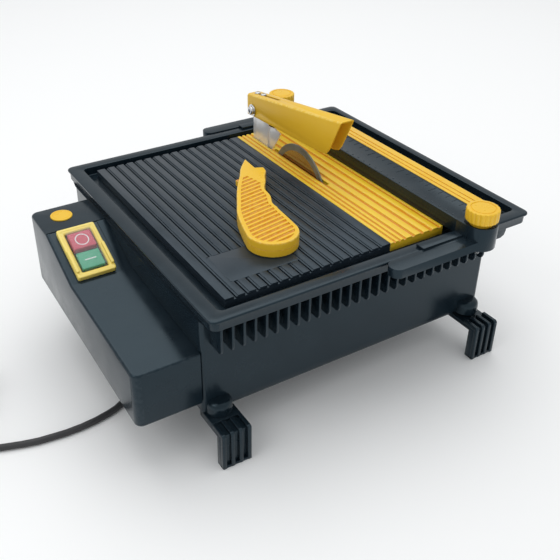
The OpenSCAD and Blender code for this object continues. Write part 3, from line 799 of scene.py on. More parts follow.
class Layout:
    """A Geometry Nodes tree that repeats the shape it is put on."""

    name = "layout"
    inputs: Sequence[tuple[str, str]] = ()

    def values(self) -> dict[str, object]:
        """Returns the value of each named input."""
        raise NotImplementedError

    def spread(self, tree: bpy.types.NodeTree, start: bpy.types.Node) -> bpy.types.Node:
        """Returns the Instance on Points node of this layout."""
        raise NotImplementedError

    def tree(self) -> bpy.types.NodeTree:
        """Returns the layout's tree, built at its first use."""
        found = bpy.data.node_groups.get(self.name)
        if found:
            return found
        tree = bpy.data.node_groups.new(self.name, "GeometryNodeTree")
        tree.interface.new_socket("Geometry", in_out="INPUT", socket_type="NodeSocketGeometry")
        for label, kind in self.inputs:
            tree.interface.new_socket(label, in_out="INPUT", socket_type=kind)
        tree.interface.new_socket("Finish", in_out="INPUT", socket_type="NodeSocketMaterial")
        tree.interface.new_socket("Geometry", in_out="OUTPUT", socket_type="NodeSocketGeometry")
        start, end = tree.nodes.new("NodeGroupInput"), tree.nodes.new("NodeGroupOutput")
        spread = self.spread(tree, start)
        real = tree.nodes.new("GeometryNodeRealizeInstances")
        dress = tree.nodes.new("GeometryNodeSetMaterial")
        tree.links.new(start.outputs["Geometry"], spread.inputs["Instance"])
        tree.links.new(spread.outputs["Instances"], real.inputs["Geometry"])
        tree.links.new(real.outputs["Geometry"], dress.inputs["Geometry"])
        tree.links.new(start.outputs["Finish"], dress.inputs["Material"])
        tree.links.new(dress.outputs["Geometry"], end.inputs[0])
        return tree

    def applied(self, thing: bpy.types.Object, finish: Finish) -> bpy.types.Mesh:
        """Runs the tree on an object and removes the object.

        Args:
            thing: Object that holds one item.
            finish: Finish of every copy.

        Returns:
            The mesh of all copies.
        """
        tree = self.tree()
        change = thing.modifiers.new(self.name, "NODES")
        change.node_group = tree
        wanted = {**self.values(), "Finish": finish.material()}
        for item in tree.interface.items_tree:
            if item.in_out == "INPUT" and item.name in wanted:
                change[item.identifier] = wanted[item.name]
        result = evaluated_mesh(thing)
        bpy.data.objects.remove(thing)
        return result


@dataclass(frozen=True)
class Row(Layout):
    """Copies in a straight row.

    Args:
        count: Number of copies.
        step: Offset from one copy to the next, in millimetres.
    """

    count: int
    step: Point
    name = "straight_row"
    inputs = (("Count", "NodeSocketInt"), ("Step", "NodeSocketVector"))

    def values(self) -> dict[str, object]:
        """Returns the count and the step."""
        return {"Count": self.count, "Step": self.step}

    def spread(self, tree: bpy.types.NodeTree, start: bpy.types.Node) -> bpy.types.Node:
        """Returns instances on a mesh line."""
        line = tree.nodes.new("GeometryNodeMeshLine")
        line.mode = "OFFSET"
        spread = tree.nodes.new("GeometryNodeInstanceOnPoints")
        tree.links.new(start.outputs["Count"], line.inputs["Count"])
        tree.links.new(start.outputs["Step"], line.inputs["Offset"])
        tree.links.new(line.outputs["Mesh"], spread.inputs["Points"])
        return spread


# ------------------------------------------------------------------ stage and cord


@dataclass(frozen=True)
class Studio:
    """Camera, lights and floor.

    Args:
        eye: Place of the camera, in metres.
        right: Camera's right, in the frame.
        down: Camera's down, in the frame.
        ahead: Camera's viewing direction.
        lens: Focal length on a 36 mm sensor.
        shift: Camera shift.
    """

    eye: Point = (-0.4147, -0.6773, 0.5844)
    right: Point = (0.8556, -0.5177, 0.0015)
    down: Point = (-0.2740, -0.4553, -0.8471)
    ahead: Point = (0.4392, 0.7244, -0.5314)
    lens: float = 51.61
    shift: Flat = (0.03905, -0.03877)

    def camera(self) -> None:
        """Makes the camera."""
        data = bpy.data.cameras.new("camera")
        data.lens, data.sensor_width = self.lens, 36.0
        data.shift_x, data.shift_y = self.shift
        data.clip_start, data.clip_end = 0.05, 20.0
        made = bpy.data.objects.new("camera", data)
        turn = Matrix((self.right, [-v for v in self.down], [-v for v in self.ahead])).transposed()
        made.matrix_world = Matrix.Translation(self.eye) @ turn.to_4x4()
        bpy.context.scene.collection.objects.link(made)
        bpy.context.scene.camera = made

    def _light(self, name: str, place: Point, target: Point, size: float, power: float) -> None:
        """Makes one soft square light aimed at a point."""
        data = bpy.data.lights.new(name, "AREA")
        data.shape, data.size, data.energy = "SQUARE", size, power
        made = bpy.data.objects.new(name, data)
        made.location = place
        aim = Vector(target) - Vector(place)
        made.rotation_euler = aim.to_track_quat("-Z", "Y").to_euler()
        bpy.context.scene.collection.objects.link(made)

    def light(self) -> None:
        """Makes the sky and the studio lights."""
        bpy.context.scene.view_settings.view_transform = "Standard"
        world = bpy.data.worlds.new("studio")
        bpy.context.scene.world = world
        world.use_nodes = True
        sky = world.node_tree.nodes["Background"]
        sky.inputs["Color"].default_value = (0.97, 0.99, 1.0, 1.0)
        sky.inputs["Strength"].default_value = 0.68
        centre = (0.0, 0.0, 0.12)
        self._light("key", (-1.2, -0.3, 1.3), centre, 0.7, 3.0)
        self._light("top", (0.3, 0.6, 2.4), centre, 2.6, 28.0)

    def floor(self) -> None:
        """Makes the pale floor."""
        made = Shape.block((-3000, -3000, -173), (3400, 3400, -168))
        made.bm.transform(SPACE.matrix())
        mesh = bpy.data.meshes.new("floor")
        made.bm.to_mesh(mesh)
        mesh.materials.append(FLOOR.material())
        thing = bpy.data.objects.new("floor", mesh)
        bpy.context.scene.collection.objects.link(thing)


def eased(share: float) -> float:
    """Returns a share from 0 to 1, clamped and softened at both ends."""
    share = min(1.0, max(0.0, share))
    return share * share * (3 - 2 * share)


@dataclass(frozen=True)
class SupplyCord:
    """Supply cord, its coil, tie, strain relief and plug, in frame metres.

    Args:
        radius: Radius of the cord.
        route: Points from the strain relief to the coil.
        coil: Centre of the coil.
        start_angle: Angle where the cord enters the coil, in degrees.
        radii: Radius of each turn of the coil.
        layers: Layer of each turn.
        layer_height: Rise from one layer to the next.
        per_turn: Points on each turn.
        change_at: Share of a turn after which it moves to the next place.
        change_span: Share of a turn that the move takes.
        tail_bend: Radius of the bend that leaves the coil.
        tail_z: Height of the plug's tail.
        tail_steps: Steps along that bend.
        tail_rise: Share of the bend that it climbs over.
        tail_end: Straight end that enters the plug.
    """

    radius: float = 0.0035
    route: tuple[Point, ...] = (
        (-0.178, -0.041, 0.040), (-0.178, -0.041, 0.035), (-0.180, -0.042, 0.024),
        (-0.186, -0.046, 0.013), (-0.195, -0.051, 0.006), (-0.206, -0.057, 0.0036),
        (-0.215, -0.062, 0.0036), (-0.225, -0.065, 0.0036), (-0.240, -0.068, 0.0036),
        (-0.256, -0.0695, 0.0036), (-0.272, -0.0695, 0.0036), (-0.286, -0.068, 0.0036),
        (-0.301, -0.066, 0.0036), (-0.316, -0.062, 0.0036), (-0.334, -0.056, 0.0036),
        (-0.352, -0.048, 0.0036), (-0.370, -0.040, 0.0036), (-0.388, -0.032, 0.0036),
    )
    coil: Flat = (-0.390, 0.015)
    start_angle: float = 247.7
    radii: tuple[float, ...] = (0.042, 0.035, 0.035, 0.042, 0.042, 0.035, 0.035)
    layers: tuple[int, ...] = (0, 0, 1, 1, 2, 2, 3)
    layer_height: float = 0.007
    per_turn: int = 30
    change_at: float = 0.70
    change_span: float = 0.22
    tail_bend: float = 0.028
    tail_z: float = 0.0355
    tail_steps: int = 12
    tail_rise: float = 0.9
    tail_end: float = 0.004

    def _turns(self) -> list[Point]:
        """Returns the coil's points, with each change of place near the turn's end."""
        points = []
        for turn, (r, layer) in enumerate(zip(self.radii, self.layers)):
            last = turn + 1 == len(self.radii)
            next_r = r if last else self.radii[turn + 1]
            next_layer = layer if last else self.layers[turn + 1]
            for k in range(self.per_turn):
                share = k / self.per_turn
                ease = eased((share - self.change_at) / self.change_span)
                angle = math.radians(self.start_angle - 360 * share)
                here = r + (next_r - r) * ease
                level = layer + (next_layer - layer) * ease
                z = self.radius + 0.0001 + self.layer_height * level
                points.append((
                    self.coil[0] + here * math.cos(angle), self.coil[1] + here * math.sin(angle), z
                ))
        return points

    def _tail(self, start: Point) -> list[Point]:
        """Returns the bend from the last turn up to the plug's tail."""
        first = math.radians(self.start_angle)
        r = self.radii[-1]
        here = (self.coil[0] + r * math.cos(first), self.coil[1] + r * math.sin(first))
        cx = self.coil[0] + (here[0] - self.coil[0]) * (1 - self.tail_bend / r)
        cy = self.coil[1] + (here[1] - self.coil[1]) * (1 - self.tail_bend / r)
        points = []
        for k in range(self.tail_steps + 1):
            share = k / self.tail_steps
            angle = math.radians(self.start_angle - (self.start_angle - 90) * share)
            rise = eased(share / self.tail_rise)
            points.append((
                cx + self.tail_bend * math.cos(angle), cy + self.tail_bend * math.sin(angle),
                start[2] + (self.tail_z - start[2]) * rise,
            ))
        x, y, z = points[-1]
        return points + [(x + self.tail_end, y, z)]

    def points(self) -> list[Point]:
        """Returns the whole centre line."""
        turns = self._turns()
        return [*self.route, *turns, *self._tail(turns[-1])]

    def length(self, points: Sequence[Point]) -> float:
        """Returns the length of a line of points."""
        return sum((Vector(b) - Vector(a)).length for a, b in zip(points, points[1:]))

    def build(self) -> None:
        """Makes the cord and its pieces."""
        points = self.points()
        data = bpy.data.curves.new("supply_cord", "CURVE")
        data.dimensions = "3D"
        data.bevel_depth, data.bevel_resolution, data.use_fill_caps = self.radius, 4, True
        line = data.splines.new("POLY")
        line.points.add(len(points) - 1)
        for spot, point in zip(line.points, points):
            spot.co = (*point, 1.0)
        line.use_smooth = True
        cord = bpy.data.objects.new("supply_cord", data)
        bpy.context.scene.collection.objects.link(cord)
        data.materials.append(RUBBER.material())
        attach(cord, Body.BASE.value)
        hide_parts("cord", "cord_coil")
        held = [self.plug(), self.pins(), self.tie()]
        length = self.length(points)
        LOG.info("supply_cord: %.3f m", length)

    def _piece(self, shape: Shape, name: str, finish: Finish, node: str,
               slot: str) -> bpy.types.Object:
        """Makes a piece from a shape that is drawn in frame millimetres."""
        shape.moved(SPACE.matrix().inverted() @ Matrix.Scale(MM, 4))
        return shape.piece(name, Body.BASE, finish, [node], slot)

    def plug(self) -> bpy.types.Object:
        """Makes the plug body with its ribbed tail."""
        low, high = (Vector(v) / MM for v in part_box("plug_body"))
        axis_y, axis_z = (low.y + high.y) / 2, (low.z + high.z) / 2
        x0 = low.x
        grip = [(x0 + 22, -8), (x0 + 34, -17.5), (x0 + 56, -17.5), (x0 + 59, -15),
                (x0 + 59, 15), (x0 + 56, 17.5), (x0 + 34, 17.5), (x0 + 22, 8)]
        body = Shape.prism([(x, axis_y + y) for x, y in grip], low.z, high.z, Axis.Z).bevel(2.4, 4)
        steps = [(4.0 + 0.11 * d + (0.5 if d % 4 < 2 else -0.5), d) for d in range(24)]
        relief = Shape.lathe(steps, 32).moved(
            Matrix.Translation((x0, axis_y, axis_z)) @ Matrix.Rotation(math.pi / 2, 4, "Y")
        )
        return self._piece(body.add(relief), "plug_grip", RUBBER, "plug_body", "cord_rubber")

    def pins(self) -> bpy.types.Object:
        """Makes the two round pins."""
        low, high = (Vector(v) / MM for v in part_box("plug_pins"))
        r, z = (high.z - low.z) / 2, (high.z + low.z) / 2
        span = high.x - low.x
        made = Shape()
        for y in (low.y + r, high.y - r):
            profile = [(r, 0), (r, span - 1.6), (r * 0.9, span - 0.7), (r * 0.55, span - 0.1)]
            made.add(Shape.lathe(profile, 28).moved(
                Matrix.Translation((low.x, y, z)) @ Matrix.Rotation(math.pi / 2, 4, "Y")
            ))
        return self._piece(made, "plug_contacts", ZINC, "plug_pins", "zinc_steel")

    def tie(self) -> bpy.types.Object:
        """Makes the tie round the coil."""
        band = Shape.from_node("cord_tie").bevel(0.5, 2)
        return band.piece("coil_tie", Body.BASE, SWITCH_BLACK, ["cord_tie"], "switch_black")


# ------------------------------------------------------------------ tub


@dataclass
class Tub:
    """Water tub with its rim, tray, fins and foot bosses."""

    width: float = 390
    depth: float = TUB_DEPTH
    body: Rect = (0.5, 24, 357, 338)
    tray: Rect = (15.6, 13.6, 380, 348.4)
    mouth: Rect = (34, 32, 350, 330)
    chamber: Rect = (36, 60, 205, 300)
    bottom: float = -124
    floor: float = -121
    fin_pitch: float = 11.8
    fin_first: float = 10.5
    fin_count: int = 28
    side_fin_count: int = 11
    fin_thick: float = 2.6

    @staticmethod
    def _inset(rect: Rect, by: float) -> Rect:
        """Returns a rectangle drawn in on every side."""
        return (rect[0] + by, rect[1] + by, rect[2] - by, rect[3] - by)

    def shell(self) -> Shape:
        """Returns the tub's wall, rim, tray and floor as one skin."""
        rim: Rect = (0, 0, self.width, self.depth)
        inner = self._inset(self.body, 3)
        rows = [
            (self._inset(self.body, 2.5), 3, self.bottom),
            (self._inset(self.body, 0.7), 4.6, self.bottom + 0.7),
            (self.body, 5, self.bottom + 2.5), (self.body, 5, -13.4),
            (self._inset(self.body, -0.9), 5.4, -12.3),
            (self._inset(rim, 3), 7.6, -12), (self._inset(rim, 1.8), 8.7, -11.7),
            (self._inset(rim, 1.5), 9, -10.8),
            (self._inset(rim, 1.5), 9, -3.5), (self._inset(rim, 1.2), 8.4, -3.05),
            (self._inset(rim, 0.4), 7.2, -2.9),
            (rim, 7, -2.3), (rim, 7, -1.3), (self._inset(rim, 0.25), 6.9, -0.6),
            (self._inset(rim, 0.7), 6.6, -0.2), (self._inset(rim, 1.5), 6, 0),
            (self._inset(self.tray, -0.8), 6.8, 0), (self._inset(self.tray, -0.2), 6.2, -0.25),
            (self.tray, 6, -0.9), (self.tray, 6, -9.2), (self._inset(self.tray, 0.8), 5.2, -10),
            (self._inset(self.mouth, -0.5), 4.5, -10), (self.mouth, 4, -10.4), (self.mouth, 4, -12),
            (inner, 3, -12.4), (inner, 3, self.floor + 2), (self._inset(inner, 2), 2, self.floor),
        ]
        return Shape.loft([rounded_rect(rect, r, z, 8) for rect, r, z in rows])

    def base_parts(self) -> Shape:
        """Returns the shell with the dry chamber, foot bosses and the drain hole."""
        made = self.shell()
        x0, y0, x1, y1 = self.chamber
        made.combined(Shape.block((x0, y0, self.floor - 1.5), (x1, y1, -11.5)).bevel(1.5),
                      Join.UNITE)
        profile = [(13.5, self.bottom), (13.5, self.bottom + 8), (13.3, self.bottom + 10),
                   (12.6, self.bottom + 12), (11.3, self.bottom + 13.6), (9.5, self.bottom + 14.6),
                   (7.5, self.bottom + 15)]
        for x in FOOT_X:
            for y in FOOT_Y:
                made.combined(Shape.lathe(profile, 40).shifted(x, y), Join.UNITE)
        made.combined(Shape.block((x0 + 3, y0 + 3, self.bottom - 2), (x1 - 3, y1 - 3, -14.5)))
        made.combined(Shape.block((x0 + 1.5, y0 + 1.5, self.bottom - 2),
                                  (x1 - 1.5, y1 - 1.5, self.bottom + 2.5)))
        made.combined(Shape.lathe([(7.2, self.bottom - 2), (7.2, self.floor + 2)]).shifted(300, 60))
        for x in FOOT_X:
            for y in FOOT_Y:
                made.combined(Shape.lathe([(8.1, self.bottom - 2), (8.1, self.bottom + 8)],
                                          32).shifted(x, y))
        return made

    def fin(self) -> Shape:
        """Returns the first fin under the front rim."""
        x = self.fin_first
        outline = [(2.2, -11.5), (2.2, -36), (3.6, -39.6), (7, -41), (24.6, -41), (24.6, -11.5)]
        return Shape.prism(outline, x, x + self.fin_thick, Axis.X).bevel(0.6, 3)

    def side_fin(self) -> Shape:
        """Returns the first fin under the right rim."""
        x1 = self.body[2]
        right = self.width
        outline = [(x1 - 0.6, -11.5), (x1 - 0.6, -41), (right - 11, -41), (right - 6, -38.5),
                   (right - 4, -33), (right - 4, -11.5)]
        return Shape.prism(outline, self.body[1], self.body[1] + self.fin_thick, Axis.Y).bevel(0.6,
                                                                                               3)

    def build(self) -> None:
        """Makes the tub's pieces."""
        self.base_parts().piece("tub_shell", Body.BASE, BLACK, ["tub"], "black_plastic")
        row = Row(self.fin_count, (self.fin_pitch, 0, 0))
        fins = self.fin().array(row, BLACK, "fins")
        rear = fins.copy().moved(REAR_MIRROR)
        count = self.side_fin_count
        pitch = (self.body[3] - self.body[1] - self.fin_thick) / (count - 1)
        side = self.side_fin().array(Row(count, (0, pitch, 0)), BLACK, "side_fins")
        fins.add(rear, side).piece("tub_fins", Body.BASE, BLACK, slot="black_plastic")


@dataclass
class Screw:
    """Pan head screw with a hexagon recess, along Z, head up.

    Args:
        head: Head radius.
        height: Head height.
        shank: Shank radius.
        length: Shank length.
        recess: Width of the recess over its flats.
    """

    head: float
    height: float
    shank: float
    length: float
    recess: float = 0.0

    def shape(self) -> Shape:
        """Returns the screw with the underside of its head at zero."""
        h, r = self.height, self.head
        loops = [circle_loop(self.shank * 0.8, -self.length),
                 circle_loop(self.shank, -self.length + 0.8),
                 circle_loop(self.shank, 0), circle_loop(r * 0.94, 0), circle_loop(r, h * 0.18),
                 circle_loop(r * 0.96, h * 0.62), circle_loop(r * 0.84, h * 0.9),
                 circle_loop(r * 0.66, h)]
        if self.recess:
            loops += [hex_loop(self.recess, h * 0.96), hex_loop(self.recess * 0.92, h * 0.35)]
        return Shape.loft(loops)


@dataclass
class Foot:
    """One L-shaped foot with four ribs on its outside.

    Args:
        x: Centre across the foot.
        rear: True for a rear foot.
        body: Body that it turns with.
        node: CAD node that it stands for.
        width: Width across the ribs.
        reach: How far the foot stands out in front.
        arm: Thickness of the upper arm.
        leg: Thickness of the leg.
        top: Height of the upper face.
        ground: Height of the floor.
        rib: Thickness of one rib.
        rib_depth: How far the ribs stand out.
    """

    x: float
    rear: bool
    body: Body
    node: str
    width: float = 32
    reach: float = 12
    arm: float = 8.5
    leg: float = 12
    top: float = -124.3
    ground: float = -168
    rib: float = 4.4
    rib_depth: float = 3.2

    def _outline(self, shrink: float) -> list[Flat]:
        """Returns the side outline, drawn in from the outside by some depth."""
        y0, y1 = -self.reach + shrink, 34.0
        z0 = self.top - self.arm
        return [(y0, self.ground), (y0, self.top - shrink), (y1, self.top - shrink), (y1, z0),
                (-self.reach + self.leg, z0), (-self.reach + self.leg, self.ground)]

    def build(self) -> None:
        """Makes the foot."""
        half = self.width / 2
        core = Shape.prism(self._outline(self.rib_depth), self.x - half, self.x + half,
                           Axis.X).bevel(0.9, 2)
        strip = [(-self.reach, self.ground), (-self.reach, self.top), (9.0, self.top),
                 (9.0, self.top - 5), (-self.reach + 5, self.top - 5),
                 (-self.reach + 5, self.ground)]
        first = self.x - half
        pitch = (self.width - self.rib) / 3
        ribs = Shape.prism(strip, first, first + self.rib, Axis.X)
        front, top = -self.reach + 0.1, self.top - 0.1
        ribs.bevel(3.2, 5, 30, lambda a, b: max(a.y, b.y) < front and min(a.z, b.z) > top)
        ribs.bevel(1.0, 3, 50)
        ribs = ribs.array(Row(4, (pitch, 0, 0)), BLACK, "foot_ribs")
        pad = Shape.block((first, 8.5, self.top - 5), (self.x + half, 34, self.top)).bevel(0.8, 2)
        toe = Shape.block((first, -self.reach + 0.6, self.ground),
                          (self.x + half, -self.reach + 7, self.ground + 3)).bevel(0.8, 2)
        spigot = Shape.lathe([(7.9, self.top - 2), (7.9, self.top + 7), (7.2, self.top + 7.8)], 32)
        made = core.add(ribs, pad, toe, spigot.shifted(self.x, FOOT_Y[0]))
        if self.rear:
            made.moved(REAR_MIRROR)
        made.combined(Shape.lathe([(5.5, self.top - self.arm - 2), (5.5, self.top - 4.5)],
                                  32).shifted(
            self.x, FOOT_Y[self.rear]))
        made.piece(self.node.replace("foot", "ribbed_foot"), self.body, BLACK, [self.node],
                   "black_plastic")


@dataclass
class Underside:
    """Base cover, drain plug and the screws below."""

    bottom: float = -124

    def build(self) -> None:
        """Makes the pieces."""
        Shape.from_node("base_cover").bevel(0.4, 2).piece(
            "motor_cover", Body.BASE, BLACK, ["base_cover"], "black_plastic")
        ring = Shape.from_node("drain_plug").bevel(0.8, 3)
        ring.piece("drain_stopper", Body.DRAIN, BLACK, ["drain_plug"], "black_plastic")
        screws = Screw(3.6, 1.6, 1.6, 16, 2.6).shape().moved(
            Matrix.Translation((42, 66, self.bottom)) @ Matrix.Rotation(math.pi, 4, "X"))
        row = screws.array(Row(2, (157, 0, 0)), ZINC, "cover_screws")
        both = row.array(Row(2, (0, 228, 0)), ZINC, "cover_screws")
        wall = Screw(3.6, 2.0, 1.6, 14, 2.6).shape().moved(
            Matrix.Translation((3.5, 60, -82)) @ Matrix.Rotation(math.pi / 2, 4, "Y"))
        wall = wall.array(Row(2, (0, 0, 20)), ZINC, "wall_screws").array(Row(2, (0, 210, 0)), ZINC,
                                                                         "wall_screws")
        both.add(wall).piece("case_screw_set", Body.BASE, ZINC, ["case_screws"], "zinc_steel")
        feet = Screw(4.8, 2.6, 2.5, 14, 4.0).shape().moved(
            Matrix.Translation((FOOT_X[0], FOOT_Y[0], -128.8)) @ Matrix.Rotation(math.pi, 4, "X"))
        feet = feet.array(Row(2, (FOOT_X[1] - FOOT_X[0], 0, 0)), ZINC, "foot_bolts")
        feet = feet.array(Row(2, (0, FOOT_Y[1] - FOOT_Y[0], 0)), ZINC, "foot_bolts")
        feet.piece("foot_bolt_set", Body.BASE, ZINC, ["foot_screws"], "zinc_steel")


# ------------------------------------------------------------------ switch box


@dataclass
class SwitchBox:
    """Box on the tub's left wall with its switch, cap and strain relief."""

    side: tuple[Flat, ...] = ((24, -110), (296, -93), (296, -11), (242, -11), (177, -39), (24, -49))
    left: float = -67
    right: float = 0.4
    wall: float = 3
    panel: Point = (-36, 209.5, -25)
    rise: Flat = (65, 28)
    opening: Flat = (14.5, 26)
    cap_at: Flat = (-39, 272)
    relief_at: Flat = (-16.5, 140)
    button_y: float = 12.3
    stop_proud: float = 6.4
    start_proud: float = 3.9

    def on_panel(self) -> Matrix:
        """Returns the transform from the sloping panel to the rim frame."""
        tilt = math.atan2(self.rise[1], self.rise[0])
        return Matrix.Translation(self.panel) @ Matrix.Rotation(tilt, 4, "X")

    def housing(self) -> Shape:
        """Returns the hollow box with its rounded edges and openings."""
        made = Shape.prism(self.side, self.left, self.right, Axis.X)
        left = self.left

        def corner(a: Vector, b: Vector) -> bool:
            """Picks the two upright edges on the left."""
            return max(a.x, b.x) < left + 0.1 and abs(a.y - b.y) < 0.1 and abs(a.z - b.z) > 30

        made.bevel(8, 7, 30, corner)
        right = self.right
        made.bevel(2.6, 4, 24, lambda a, b: min(a.x, b.x) < right - 0.1)
        core = [(27, -106.8), (293, -90.2), (293, -14), (242.7, -14), (177.7, -42), (27, -52)]
        made.combined(Shape.prism(core, left + self.wall, self.right + 2, Axis.X).bevel(2, 2))
        made.combined(Shape.block((-15, -26.5, -12), (15, 26.5, 6)).moved(self.on_panel()))
        made.combined(Shape.lathe([(10, -20), (10, 0)]).shifted(*self.cap_at))
        made.combined(Shape.lathe([(6, -130), (6, -90)]).shifted(*self.relief_at))
        made.combined(Shape.block((left - 1, 241.5, -11.9), (self.right + 1, 242.5, 0)))
        recess = Shape.block((-27, -35, -0.7), (26, 35, 3)).moved(self.on_panel())
        return made.combined(recess)

    def bezel(self) -> Shape:
        """Returns the frame round the switch with its two shoulders."""
        w, h = self.opening
        rows = [((-21, -32.5, 20.5, 32.5), 2.2, -0.7), ((-21, -32.5, 20.5, 32.5), 2.2, 4.1),
                ((-20.8, -32.3, 20.3, 32.3), 2.1, 4.5), ((-20.4, -31.9, 19.9, 31.9), 2.0, 4.7),
                ((-18.2, -29.7, 17.7, 29.7), 1.6, 4.7), ((-17.8, -29.3, 17.3, 29.3), 1.6, 4.3),
                ((-w - 1.5, -h - 1.5, w + 1.5, h + 1.5), 1.6, 4.3),
                ((-w - 0.5, -h - 0.5, w + 0.5, h + 0.5), 1.4, 3.6),
                ((-w, -h, w, h), 1.2, 3.0), ((-w, -h, w, h), 1.2, 0)]
        made = Shape.loft([rounded_rect(rect, r, z) for rect, r, z in rows], ring=True)
        for side in (-1, 1):
            bar = Shape.block((side * 18.9 - 1.7, -26, 3.6), (side * 18.9 + 1.7, 3, 6.8)).bevel(0.7,
                                                                                                3)
            made.add(bar)
        return made.moved(self.on_panel())

    def _button(self, y: float, proud: float) -> Shape:
        """Returns a push button with a soft crowned top."""
        rows = [((-12.4, y - 10.7, 12.4, y + 10.7), 1.0, -9),
                ((-12.4, y - 10.7, 12.4, y + 10.7), 1.0, proud - 0.9),
                ((-12.2, y - 10.5, 12.2, y + 10.5), 1.0, proud - 0.4),
                ((-11.7, y - 10.0, 11.7, y + 10.0), 1.0, proud - 0.12),
                ((-10.8, y - 9.1, 10.8, y + 9.1), 1.0, proud)]
        return Shape.loft([rounded_rect(rect, r, z) for rect, r, z in rows]).moved(self.on_panel())

    def buttons(self) -> None:
        """Makes both buttons with their marks."""
        self._button(self.button_y, self.stop_proud).piece("stop_key", Body.STOP, RED,
                                                           ["stop_button"], "stop_red")
        self._button(-self.button_y, self.start_proud).piece("start_key", Body.START, GREEN,
                                                             ["start_button"], "start_green")
        ring = Shape.lathe([(7.4, 6.2), (7.4, 6.5), (6.3, 6.5), (6.3, 6.2)], 48, hollow=True)
        ring.shifted(0, self.button_y).moved(self.on_panel()).piece("stop_mark", Body.STOP, MARK)
        dash = Shape.block((-6.2, -12.9, 3.7), (6.2, -11.5, 4.0)).bevel(0.1, 1)
        dash.moved(self.on_panel()).piece("start_mark", Body.START, MARK)

    def cover(self) -> Shape:
        """Returns the clear cover over both buttons."""
        inner, outer = (-13.5, -24.6, 13.5, 24.6), (-14.2, -25.3, 14.2, 25.3)
        rows = [((-12.8, -23.9, 12.8, 23.9), 1.4, 7.25), (inner, 1.5, 6.7), (inner, 1.5, 0.2),
                (outer, 2, 0.2),
                (outer, 2, 7.0), ((-13.8, -24.9, 13.8, 24.9), 1.9, 7.7),
                ((-13, -24.1, 13, 24.1), 1.6, 8)]
        return Shape.loft([rounded_rect(rect, r, z) for rect, r, z in rows]).moved(self.on_panel())

    def cap(self) -> Shape:
        """Returns the round blanking cap."""
        profile = [(9.9, -15), (9.9, -11), (12, -11), (12, -10.4), (11.75, -9.9), (11.2, -9.65),
                   (9.8, -9.6), (9.6, -9.85), (9.1, -9.85), (8.9, -9.62), (5, -9.6)]
        return Shape.lathe(profile, 56).shifted(*self.cap_at)

    def relief(self) -> Shape:
        """Returns the tapered strain relief with its ring grooves."""
        low = -130.0
        profile = [(4.2, low)]
        for d in range(1, 22):
            profile.append((4.7 + 2.3 * d / 22 - (0.0 if d % 4 < 2 else 0.75), low + d))
        profile += [(7, low + 22), (8.6, low + 22.2), (9, low + 22.8), (9, low + 25.4),
                    (8.6, low + 26),
                    (5.8, low + 26), (5.8, low + 38)]
        return Shape.lathe(profile, 40).shifted(*self.relief_at)

    def build(self) -> None:
        """Makes the pieces of the box."""
        self.housing().piece("switch_box", Body.BASE, BLACK, ["switch_housing"], "black_plastic")
        self.bezel().piece("switch_frame", Body.BASE, BEZEL, ["switch_bezel"], "bezel_plastic")
        self.buttons()
        self.cover().piece("switch_window", Body.BASE, COVER, ["switch_cover"], "clear_cover")
        self.cap().piece("round_cap", Body.BASE, YELLOW, ["blanking_cap"], "yellow_plastic")
        self.relief().piece("strain_relief", Body.BASE, RUBBER, ["cable_gland"], "black_plastic")


# ------------------------------------------------------------------ table


